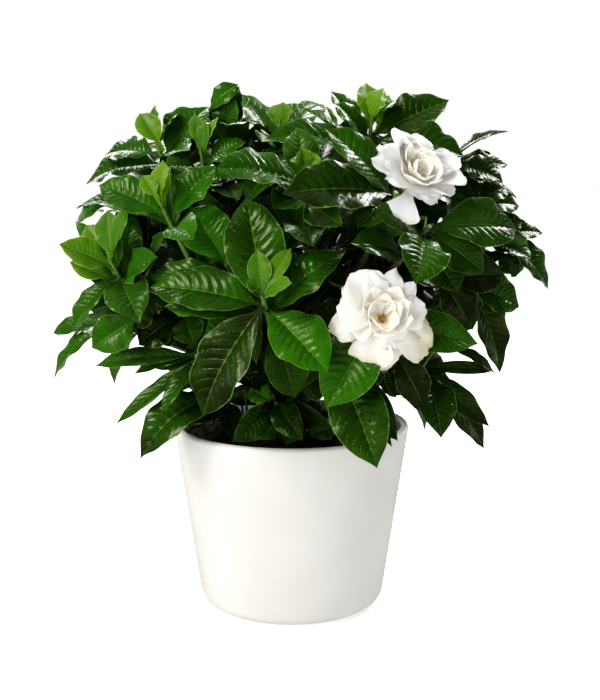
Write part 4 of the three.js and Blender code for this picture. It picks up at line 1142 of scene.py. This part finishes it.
def grow(shoots, blooms, leaf_materials, young_materials):
    """Every shoot: its young tip, the leaves that the photograph shows, leaves by rule, stem and calyx."""
    for shoot in shoots:
        make_young(shoot, young_materials)
    nodes = [f"shoot_{shoot['name']}" for shoot in shoots]
    trees = [node_tree(node) for node in nodes]
    pieces = [Piece() for _ in shoots]
    for shoot, tree, piece in zip(shoots, trees, pieces):
        for number, numbers in enumerate(shoot["leaves"]):
            leaf = as_solid(tree, shown_leaf(shoot, number, *numbers))
            if leaf:
                add_leaf(piece, varied(leaf), shoot["tones"][number], FINE_GRID)
    for shoot, tree, piece, node in zip(shoots, trees, pieces, nodes):
        for number in range(shoot["fill"]):
            leaf = as_solid(tree, rule_leaf(shoot, len(shoot["leaves"]) + number))
            if leaf:
                add_leaf(piece, varied(leaf), tone_with_painted_light(leaf, FILL_TONE))
        stem = Curve(shoot["tip"] - shoot["axis"] * shoot["length"], None, shoot["tip"])
        add_tube(piece, stem, SHOOT_RADIUS, 12, 10, slot=2, rough=0.05)
        for bloom in blooms:
            if bloom["shoot"] == shoot["name"]:
                add_calyx(piece, bloom, shoot)
        piece.make(f"{node}_leaves", leaf_materials, [node], "leaf")


def make_wood(shoots, material):
    """The crown, the main stems and the branches. Gives the branches and the places for more leaves."""
    stems = [main_stem(top) for top in STEM_TOPS]
    branches = [branch(shoot, stems) for shoot in shoots]
    crown = Curve(CROWN + UP * CROWN_RISE - UP * CROWN_DEPTH, None, CROWN + UP * CROWN_RISE)
    piece = Piece()
    add_tube(piece, crown, CROWN_RADIUS, 20, 8, rough=0.25)
    for stem in stems:
        add_tube(piece, stem, STEM_RADIUS, 14, 26, rough=0.12)
    for curve in branches:
        add_tube(piece, curve, BRANCH_RADIUS, 10, 18, rough=0.08)
    piece.make("woody_stems_bark", [material], ["woody_stems"], "bark")
    shoot_stems = [Curve(curve.end, None, shoot["tip"]) for curve, shoot in zip(branches, shoots)]
    wood = [(curve, 0.3) for curve in branches + shoot_stems] + [(stem, 0.15) for stem in stems]
    return branches, np.concatenate([curve.point(np.linspace(low, 1, ANCHORS)) for curve, low in wood])


# Leaves that the solids leave out: sprigs of the photograph, leaves along the branches, and leaves that close
# the gaps that a set of views sees

ANCHORS = 14  # along each stem and branch
SPRIG_HIDES = 5  # how many tested points of a leaf may lie in front of what the photograph shows
HIDES_AT_MOST = 2  # the same for the leaves that fill the shrub


def sprig(at, *leaves, stalk=None, hides=SPRIG_HIDES, young=False):
    """A sprig of the photograph.

    `at` is the foot of its leaves: pixel column, pixel row and forward reach. Each leaf has the same numbers
    of its tip, then its width, its tone and how far its face turns towards the viewer; the tone is partly the
    leaf's own and partly painted shade, low where the leaf lies deep in the foliage. A `stalk` rises from
    the soil at a pixel column and a forward reach; the other sprigs grow on the nearest wood.
    """
    return dict(at=at, leaves=leaves, stalk=stalk, hides=hides, young=young)


SPRIGS = [
    sprig((158, 294, 54), (106, 303, 46, 24, 0, 0.6), (126, 324, 56, 22, 0.05, 0.8)),
    sprig((178, 316, 50), (136, 341, 56, 24, 0, 0.8), (160, 341, 40, 22, 0, 0.8), (190, 346, 60, 20, 0.3, 1)),
    sprig((142, 316, 64), (92, 337, 56, 22, 0.55, 1)),
    sprig((188, 352, 44), (176, 391, 50, 18, 0.45, 1), (194, 392, 56, 16, 0.3, 1)),
    sprig((122, 282, 38), (108, 214, 20, 24, 0.35, 1.2)),
    sprig((150, 262, 40), (122, 206, 20, 24, 0.1, 1), (148, 208, 30, 22, 0.1, 1)),
    sprig((207, 115, 6), (241, 87, 8, 14, 0.6, 0.8)),
    sprig((112, 203, 34), (65, 218, 16, 12, 0.75, 0.5)),
    sprig((218, 222, 56), (206, 249, 70, 13, 0.5, 0.8)),
    sprig((455, 178, 8), (501, 180, -2, 26, 0.1, 1.2), (514, 192, -8, 16, 0.3, 1)),
    sprig((472, 206, 20), (506, 188, 8, 17, 0.2, 1), (519, 206, 4, 16, 0.2, 1)),
    sprig((498, 252, 16), (528, 268, 14, 20, 0.2, 1), (514, 274, 20, 16, 0.3, 1)),
    sprig((442, 280, 56), (500, 294, 48, 24, 0.05, 0.8), (478, 330, 48, 24, 0.05, 1),
          (450, 330, 50, 24, 0, 1)),
    sprig((474, 296, 42), (501, 338, 38, 16, 0.15, 1), (467, 333, 50, 16, 0.3, 1)),
    sprig((426, 218, 92), (377, 216, 96, 18, 0.9, -1)),
    sprig((410, 356, 56), (394, 396, 66, 22, 0.05, 1), (438, 408, 60, 26, 0.05, 1)),
    sprig((304, 418, 40), (246, 436, 58, 15, 0.55, 1), (280, 441, 66, 17, 0.35, 1.2),
          (262, 424, 46, 14, 0.2, 1)),
    sprig((312, 403, 10), (258, 411, 20, 15, 0.05, 0.8)),
    sprig((225, 396, 20), (214, 420, 40, 15, 0.2, 1), (233, 431, 50, 15, 0.3, 1), stalk=(238, 4)),
    sprig((222, 402, 0), (188, 421, 26, 20, 0.05, 1)),
    sprig((337, 423, 36), (309, 436, 54, 15, 0.7, 1)),
    sprig((245, 388, 36), (272, 403, 50, 14, 0.8, 1), stalk=(248, 8)),
    sprig((240, 390, 10), (262, 398, 4, 14, 0.2, 1), stalk=(244, -12)),
    sprig((392, 350, 92), (423, 405, 94, 20, 0.05, 1), hides=13),
    sprig((440, 345, 56), (495, 374, 44, 9, 0.1, 0.8), hides=13),
    sprig((113, 280, 66), (69, 263, 70, 12, 0.3, 1), (122, 233, 70, 9, 0.5, 1), (97, 220, 62, 12, 0.5, 1),
          young=True),
    sprig((163, 150, 36), (149, 106, 34, 15, 0.7, 1.3), young=True),
    sprig((376, 134, 42), (389, 95, 46, 14, 0.8, 1), (400, 119, 48, 13, 0.5, 1), young=True),
    sprig((306, 178, 88), (284, 147, 84, 9, 0.6, 1), (323, 158, 94, 9, 0.5, 1), (311, 137, 84, 9, 0.5, 1),
          young=True),
]
SPRIG_STEP = 2.4  # between the roots of its leaves
SPRIG_TRIES = 17
SHIFTS = (0, -8, 8, -16, 16, -24, -34, -44)  # tried along the photograph's rays
STALK_ROW = 430
TWIG_CHOICES = 12
TWIG_REACH = 85
TWIG_RADIUS = (0.9, 0.6)
SPRIG_RADIUS = (1.3, 1)
TWIG_RISE = 0.12  # how far a twig arches, as a share of its length
NEIGHBOUR_REACH = 70  # only leaves whose middles lie this near each other are tested for crossing

FILL_SEED = 4  # for fresh draws, so that a change to a petal doesn't move the leaves that fill the shrub
INNER_CENTRE = array([0, 0, 214])
INNER_REACH = array([126, 122, 92])
INNER_FRONT = 90  # the reach towards the viewer, which keeps them behind the leaves that the photograph shows
INNER_TRIES = 10
INNER_PER_BRANCH = 7
CELL = 4  # the size of a gap that is looked for, in pixels or in millimetres
GAP_TRIES = 40
GAP_LEAVES = 270  # at most, which keeps their piece under 200,000 triangles
PHOTO_GAP_LEAVES = 120  # at most, of these
SIDE_VIEWS = [(180, 20), (90, 20), (-90, 20), (0, 80)]  # azimuth and elevation
LEAF_REACH = (12, 44)  # how far from the wood a leaf's middle may lie without a twig
INNER_SIZE = {"length": (42, 60), "lean": (45, 95), "spread": (0.38, 0.46), "arch": (0.05, 0.14)}
GAP_SIZE = {"length": (24, 60), "grown": (0.55, 0.8), "spread": (0.34, 0.44), "arch": (0.04, 0.12)}
GAP_DEPTHS = (40, 280)  # along a ray, where a leaf is tried
TWIG_ENDS = (14, 28)  # from a leaf's middle back to the end of its twig
PHOTO_SPAN = ((50, 80), (552, 470))  # the first and last corner of its cells, in pixels
PHOTO_DEPTHS = (170, -150)  # forward of the pot's axis, where its rays start and where they pass
SIDE_SPAN = ((-136, -136), (137, 137))
SIDE_DISTANCE = 160

# The foliage's outline in the photograph, clockwise in its pixels, without the open places at the lower left
OUTLINE = array([
    (104, 152), (125, 139), (146, 136), (152, 105), (178, 104), (200, 102), (218, 94), (239, 87),
    (244, 112), (262, 112), (283, 103), (296, 110), (318, 112), (332, 93), (352, 98), (366, 84),
    (384, 87), (402, 104), (428, 93), (448, 99), (441, 119), (462, 126), (466, 153), (484, 155),
    (507, 160), (502, 180), (516, 196), (522, 216), (542, 233), (530, 250), (545, 283), (528, 272),
    (517, 286), (517, 303), (505, 321), (502, 370), (492, 366), (478, 344), (443, 351), (446, 384),
    (474, 404), (488, 428), (482, 446), (438, 430), (396, 436), (376, 462), (352, 438), (318, 440),
    (270, 444), (232, 440), (206, 408), (192, 374), (166, 342), (122, 332), (62, 358), (56, 344),
    (68, 300), (86, 290), (64, 248), (88, 226), (68, 217), (88, 202), (87, 184),
])


def inside(polygon, points):
    """Whether each point lies inside a polygon, by the even-odd rule."""
    x, y = points[..., 0], points[..., 1]
    odd = np.zeros(x.shape, bool)
    for (ax, ay), (bx, by) in zip(polygon, np.roll(polygon, -1, axis=0)):
        if ay != by:
            odd ^= ((ay > y) != (by > y)) & (x < (bx - ax) * (y - ay) / (by - ay) + ax)
    return odd


class View:
    """A grid of cells; each kind of view says which are open, and gives the ray through a place."""

    def __init__(self, low, high):
        self.low = array(low)
        spans = [np.arange(start, end, CELL) for start, end in zip(low, high)]
        self.places = np.stack(np.meshgrid(*spans, indexing="ij"), -1).astype(float)

    def cells(self, points):
        return np.round((self.flat(points) - self.low) / CELL).astype(int)


class PhotoView(View):
    """Cells of the photograph, open inside the foliage's outline."""

    def __init__(self):
        super().__init__(*PHOTO_SPAN)
        self.open = inside(OUTLINE, self.places)

    def ray(self, place):
        near, far = (seen(*place, depth) for depth in PHOTO_DEPTHS)
        return near, unit(far - near)

    def flat(self, points):
        return pixel_of(points)


class SideView(View):
    """Cells of a plane outside the plant, open where the parallel rays through them meet the shrub's dome."""

    def __init__(self, azimuth, elevation):
        super().__init__(*SIDE_SPAN)
        a, e = math.radians(azimuth), math.radians(elevation)
        self.way = array([-math.cos(e) * math.sin(a), math.cos(e) * math.cos(a), -math.sin(e)])
        self.right = side_of(self.way)
        self.up = np.cross(self.right, self.way)
        reach = INNER_REACH * 0.94
        way = self.way / reach
        start = (self.places[..., :1] * self.right + self.places[..., 1:] * self.up) / reach
        self.open = (start * start).sum(-1) - (start @ way) ** 2 / (way @ way) < 1

    def ray(self, place):
        start = INNER_CENTRE + self.right * place[0] + self.up * place[1] - self.way * SIDE_DISTANCE
        return start, self.way

    def flat(self, points):
        away = points - INNER_CENTRE
        return np.stack([away @ self.right, away @ self.up], -1)


def coarse(leaf):
    """A leaf as a few quads without its foot, for testing what it crosses, and its points."""
    top = leaf_surface(leaf, COARSE_GRID)[0][1:]
    points = top.reshape(-1, 3)
    return BVHTree.FromPolygons(points.tolist(), grid_faces(*top.shape[:2]).tolist()), points


def solids_tree(prefixes):
    """The CAD solids whose names start so, in one tree, in millimetres."""
    points, faces = [], []
    for name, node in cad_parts.items():
        if name.startswith(prefixes):
            faces += [[corner + len(points) for corner in polygon.vertices] for polygon in node.data.polygons]
            points += [vertex.co / MM for vertex in node.data.vertices]
    return BVHTree.FromPolygons(points, faces)


class Foliage:
    """The leaves grown so far, and the tests that a new one has to pass."""

    def __init__(self):
        shown_names = tuple(f"shoot_{shoot['name']}" for shoot in SHOWN_SHOOTS)
        self.solids = solids_tree(("shoot_", "young_", "bloom_", "pot", "soil"))
        self.shown = solids_tree((*shown_names, "young_", "bloom_"))
        self.eye = Vector(EYE)
        self.grown, self.middles = [], []

    def crosses(self, twig):
        """Whether a twig runs through a leaf on its way from the wood."""
        points = twig.point(np.linspace(0.12, 1, 5))
        for start, end in zip(points, points[1:]):
            reach = np.linalg.norm(end - start)
            way = Vector((end - start) / reach)
            if any(tree.ray_cast(Vector(start), way, reach)[0] for tree in [self.solids] + self.grown):
                return True
        return False

    def hides(self, points):
        """How many points, of every third that it tests, lie in front of what the photograph shows."""
        count = 0
        for point in points[2::3]:
            ray = Vector(point) - self.eye
            hit = self.shown.ray_cast(self.eye, ray.normalized())
            count += hit[0] is not None and hit[3] > ray.length + 1
        return count

    def takes(self, tree, points, hidden):
        """Keeps a leaf that crosses no other and hides no more than so many points of it."""
        if points[:, 2].min() < SOIL_TOP + 4 or tree.overlap(self.solids):
            return False
        middle = points.mean(0)
        away = [np.linalg.norm(place - middle) for place in self.middles]
        near = [other for other, distance in zip(self.grown, away) if distance < NEIGHBOUR_REACH]
        if any(tree.overlap(other) for other in near) or self.hides(points) > hidden:
            return False
        self.grown.append(tree)
        self.middles.append(middle)
        return True

    def accepts(self, leaf):
        """The same for a leaf that fills the shrub, which also has to stay in its outline."""
        tree, points = coarse(leaf)
        place = (points - INNER_CENTRE) / (INNER_REACH * 1.06)
        if ((place * place).sum(-1) > 1).any() and (points[:, 2] > 170).any():
            return False
        if not inside(OUTLINE, pixel_of(points)).all() or "twig" in leaf and self.crosses(leaf["twig"]):
            return False
        return self.takes(tree, points, HIDES_AT_MOST)


def arched_twig(start, end):
    return Curve(start, (start + end) / 2 + UP * TWIG_RISE * np.linalg.norm(start - end), end)


def sprig_twig(foliage, anchors, group, foot):
    """The twig of a sprig: from the soil, or from the nearest wood that it reaches through no leaf."""
    if group["stalk"]:
        column, forward = group["stalk"]
        low = seen(column, STALK_ROW, forward)
        low[2] = SOIL_TOP - 3
        return Curve(low, (low + foot) / 2 + (foot - low) * array([-0.2, -0.2, 0.1]), foot)
    order = np.argsort(np.linalg.norm(anchors - foot, axis=1))[:TWIG_CHOICES]
    twigs = [arched_twig(anchors[i], foot) for i in order]
    return next((twig for twig in twigs if not foliage.crosses(twig)), twigs[0])


def grow_sprig(foliage, anchors, group, variations, shift):
    """A sprig's twig, and those of its leaves that find room when it is moved along the photograph's rays."""
    column, row, forward = group["at"]
    twig = sprig_twig(foliage, anchors, group, seen(column, row, forward + shift))
    length = np.linalg.norm(twig.end - twig.start)
    leaves = []
    for number, (column, row, forward, width, tone, face) in enumerate(group["leaves"]):
        root = twig.point(max(1 - number * SPRIG_STEP / length, 0.3))
        tip = seen(column, row, forward + shift)
        facing = UP * 0.4 + twig.tangent(1) * 0.3 + VIEWER * face
        leaf = blade(root, tip, facing, width, SHOWN_ARCH, tone=tone, **variations[number])
        for bent in islice(tries(leaf), SPRIG_TRIES):
            if foliage.takes(*coarse(bent), group["hides"]):
                leaves.append(bent)
                break
    return twig, leaves


def best_shift(foliage, anchors, group, variations):
    """The first shift that gives room to all of a sprig's leaves, or to the most."""
    counts = []
    for shift in SHIFTS:
        kept = len(foliage.grown)
        counts.append(len(grow_sprig(foliage, anchors, group, variations, shift)[1]))
        del foliage.grown[kept:], foliage.middles[kept:]
        if counts[-1] == len(variations):
            break
    return SHIFTS[int(np.argmax(counts))]


def make_sprigs(foliage, anchors, materials):
    piece = Piece()
    for group in SPRIGS:
        variations = [varied({}) for _ in group["leaves"]]
        shift = best_shift(foliage, anchors, group, variations)
        twig, leaves = grow_sprig(foliage, anchors, group, variations, shift)
        if leaves:
            add_tube(piece, twig, TWIG_RADIUS if len(leaves) == 1 else SPRIG_RADIUS, 9, 10, slot=2)
        for leaf in leaves:
            add_leaf(piece, leaf, leaf["tone"], slots=(3, 3) if group["young"] else (0, 1))
    piece.make("sprigs", materials, slot="leaf")


def inner_leaf(curve):
    """A leaf that grows outward from a branch."""
    share = looks.uniform(0.35, 1)
    way = curve.tangent(share)
    length = looks.uniform(*INNER_SIZE["length"])
    root = curve.point(share)
    reach = leaning(way, looks.uniform(0, 360), looks.uniform(*INNER_SIZE["lean"]))
    outward = unit(root - INNER_CENTRE + UP * 20)
    tip = root + unit(reach + outward * 0.35) * length - UP * 0.08 * length
    facing = way + UP * 0.7 + outward * 0.3
    width = length * looks.uniform(*INNER_SIZE["spread"])
    return varied(blade(root, tip, facing, width, looks.uniform(*INNER_SIZE["arch"])))


def gap_leaf(anchors, start, way):
    """A leaf that grows from the wood across a ray, or None if there is no wood in reach."""
    point = start + way * looks.uniform(*GAP_DEPTHS)
    if (((point - INNER_CENTRE) / INNER_REACH) ** 2).sum() > 1:
        return None
    distance = np.linalg.norm(anchors - point, axis=1)
    near = np.flatnonzero((distance > LEAF_REACH[0]) & (distance < LEAF_REACH[1]))
    far = np.flatnonzero(distance < TWIG_REACH)
    if not len(far):
        return None
    root = anchors[looks.choice(near if len(near) else far)]
    twig = {}
    if not len(near):
        foot = root
        root = point + unit(foot - point + looks.normal(size=3) * 12) * looks.uniform(*TWIG_ENDS)
        twig["twig"] = arched_twig(foot, root)
    length = np.linalg.norm(point - root) / looks.uniform(*GAP_SIZE["grown"])
    length = float(np.clip(length, *GAP_SIZE["length"]))
    tip = root + unit(point - root) * length
    facing = UP * 0.6 - way * looks.uniform(0.2, 1) + looks.normal(size=3) * 0.25
    width = length * looks.uniform(*GAP_SIZE["spread"])
    return varied(blade(root, tip, facing, width, looks.uniform(*GAP_SIZE["arch"]), **twig))


def add_inner(piece, leaf):
    add_leaf(piece, leaf, tone_with_painted_light(leaf, INNER_SHADED_TONE), PLAIN_GRID, QUILT * 0.6)
    if "twig" in leaf:
        add_tube(piece, leaf["twig"], TWIG_RADIUS, 7, 8, slot=2)


def behind_shown(leaf):
    """Whether a leaf's middle and tip stay in the dome, and short of its front."""
    place = leaf_frame(leaf)[3].point([0.5, 1.0]) - INNER_CENTRE
    reach = np.where(place < 0, array([INNER_REACH[0], INNER_FRONT, INNER_REACH[2]]), INNER_REACH)
    return (((place / reach) ** 2).sum(-1) < 1).all()


def make_inner_leaves(foliage, branches, materials):
    piece = Piece()
    for curve in branches:
        for _ in range(INNER_PER_BRANCH):
            for _ in range(INNER_TRIES):
                leaf = inner_leaf(curve)
                if behind_shown(leaf) and foliage.accepts(leaf):
                    add_inner(piece, leaf)
                    break
    piece.make("inner_leaves", materials, slot="leaf")


def close_gaps(foliage, anchors, view, limit):
    """Leaves across the open cells of one view."""
    leaves = []
    cells = view.open.copy()
    blocked = [foliage.solids] + foliage.grown
    for i, j in np.argwhere(cells):
        start, way = view.ray(view.places[i, j])
        cells[i, j] = not any(tree.ray_cast(Vector(start), Vector(way))[0] for tree in blocked)
    places = np.argwhere(cells)
    looks.shuffle(places)
    for i, j in places:
        for _ in range(GAP_TRIES):
            if not cells[i, j] or len(leaves) >= limit:
                break
            leaf = gap_leaf(anchors, *view.ray(view.places[i, j]))
            if leaf and foliage.accepts(leaf):
                leaves.append(leaf)
                grid = view.cells(leaf_surface(leaf, COVER_GRID)[0].reshape(-1, 3))
                grid = grid[((grid >= 0) & (grid < cells.shape)).all(-1)]
                cells[grid[:, 0], grid[:, 1]] = False
    return leaves


def make_gap_leaves(foliage, anchors, materials):
    leaves = close_gaps(foliage, anchors, PhotoView(), PHOTO_GAP_LEAVES)
    limit = (GAP_LEAVES - PHOTO_GAP_LEAVES) // len(SIDE_VIEWS)
    for azimuth, elevation in SIDE_VIEWS:
        leaves += close_gaps(foliage, anchors, SideView(azimuth, elevation), limit)
    piece = Piece()
    for leaf in leaves:
        add_inner(piece, leaf)
    piece.make("gap_leaves", materials, slot="leaf")


# Camera, floor and light, in metres

FLOOR_REACH = 6
WORLD_DOME = 0.06  # overhead
WORLD_BELOW = 0.1  # which the leaves mirror in place of the floor
WORLD_FRONT = 0.4  # the upper part of the pale band round the horizon, on the viewer's side
WORLD_BACK = 1  # the same behind the plant, and the band's lower part all round
PRINT_CURVE = ((0.012, 0.006), (0.05, 0.038), (0.13, 0.14), (0.4, 0.43))  # it deepens the darks a little


def make_camera():
    data = bpy.data.cameras.new("camera")
    data.sensor_width = SENSOR
    data.lens = VIEW["focal"] / FRAME_HEIGHT * SENSOR
    camera = add_object("camera", data)
    camera.location = EYE * MM
    camera.rotation_euler = (math.radians(90 - VIEW["pitch"]), 0, 0)
    bpy.context.scene.camera = camera


def make_floor(material):
    corners = [(x * FLOOR_REACH, y * FLOOR_REACH, 0) for x, y in ((-1, -1), (1, -1), (1, 1), (-1, 1))]
    mesh = bpy.data.meshes.new("floor")
    mesh.from_pydata(corners, [], [(0, 1, 2, 3)])
    mesh.materials.append(material)
    floor = add_object("floor", mesh)
    floor.visible_glossy = False


def make_world():
    """A dim room with a pale band round the horizon, which is broader and brighter behind the plant."""
    world = bpy.data.worlds.new("studio")
    nodes = Nodes(world, "Background")
    way = nodes.add("ShaderNodeSeparateXYZ", {0: nodes.coordinates("Generated")})
    band = nodes.step(way.outputs["Y"], -0.2, 0.7, WORLD_FRONT, WORLD_BACK)
    band = nodes.step(way.outputs["Z"], 0.06, 0.16, WORLD_BACK, band)
    band = nodes.step(way.outputs["Z"], 0.17, 0.3, band, WORLD_DOME)
    band = nodes.step(way.outputs["Z"], -0.12, -0.06, WORLD_BELOW, band)
    nodes.link(band, "Strength")
    nodes.set(Color=(1, 1, 1, 1))
    bpy.context.scene.world = world


def add_light(name, kind, power, way):
    light = add_object(name, bpy.data.lights.new(name, kind))
    light.data.energy = power
    light.rotation_euler = Vector(way).to_track_quat("-Z", "Y").to_euler()
    return light


def add_sun(name, way, power, spread, colour=(1, 1, 1)):
    sun = add_light(name, "SUN", power, way)
    sun.data.angle = math.radians(spread)
    sun.data.color = colour


def add_panel(name, place, target, size, power):
    panel = add_light(name, "AREA", power, Vector(target) - Vector(place))
    panel.data.shape = "RECTANGLE"
    panel.data.size, panel.data.size_y = size
    panel.location = place
    return panel


def make_lights():
    add_sun("key", (0.8, 0.62, -0.8), 2.25, 26, (1, 0.985, 0.955))
    add_sun("overhead", (0.1, -0.1, -1), 0.4, 60)
    add_panel("low", (-0.9, -1.1, 0.3), (0, 0, 0.12), (0.3, 0.7), 8).visible_glossy = False
    add_panel("back", (-0.35, 0.9, 1.0), (0, 0, 0.22), (0.8, 0.5), 17)
    add_panel("rim", (0.68, 0.55, 1.1), (0.05, 0, 0.24), (0.35, 0.5), 17)
    make_world()


def set_print():
    view = bpy.context.scene.view_settings
    view.view_transform = "Standard"
    view.look = "None"
    view.use_curve_mapping = True
    for place in PRINT_CURVE:
        view.curve_mapping.curves[3].points.new(*place)
    view.curve_mapping.update()


def main():
    shoots, blooms = all_shoots(), all_blooms()
    top, under, stem, young = glossy_leaf(), leaf_under(), green_stem(), young_top()
    make_camera()
    make_lights()
    set_print()
    make_floor(floor_material())
    make_pot(glaze())
    make_soil(soil_material())
    grow(shoots, blooms, [top, under, stem], [young, young, stem])
    pistil = pistil_material()
    for bloom in blooms:
        make_bloom(bloom, pistil)
    branches, anchors = make_wood(shoots, bark())
    foliage = Foliage()
    make_sprigs(foliage, anchors, [top, under, stem, young])
    looks.bit_generator.state = np.random.default_rng(FILL_SEED).bit_generator.state
    make_inner_leaves(foliage, branches, [top, under])
    make_gap_leaves(foliage, anchors, [top, under, stem])


main()
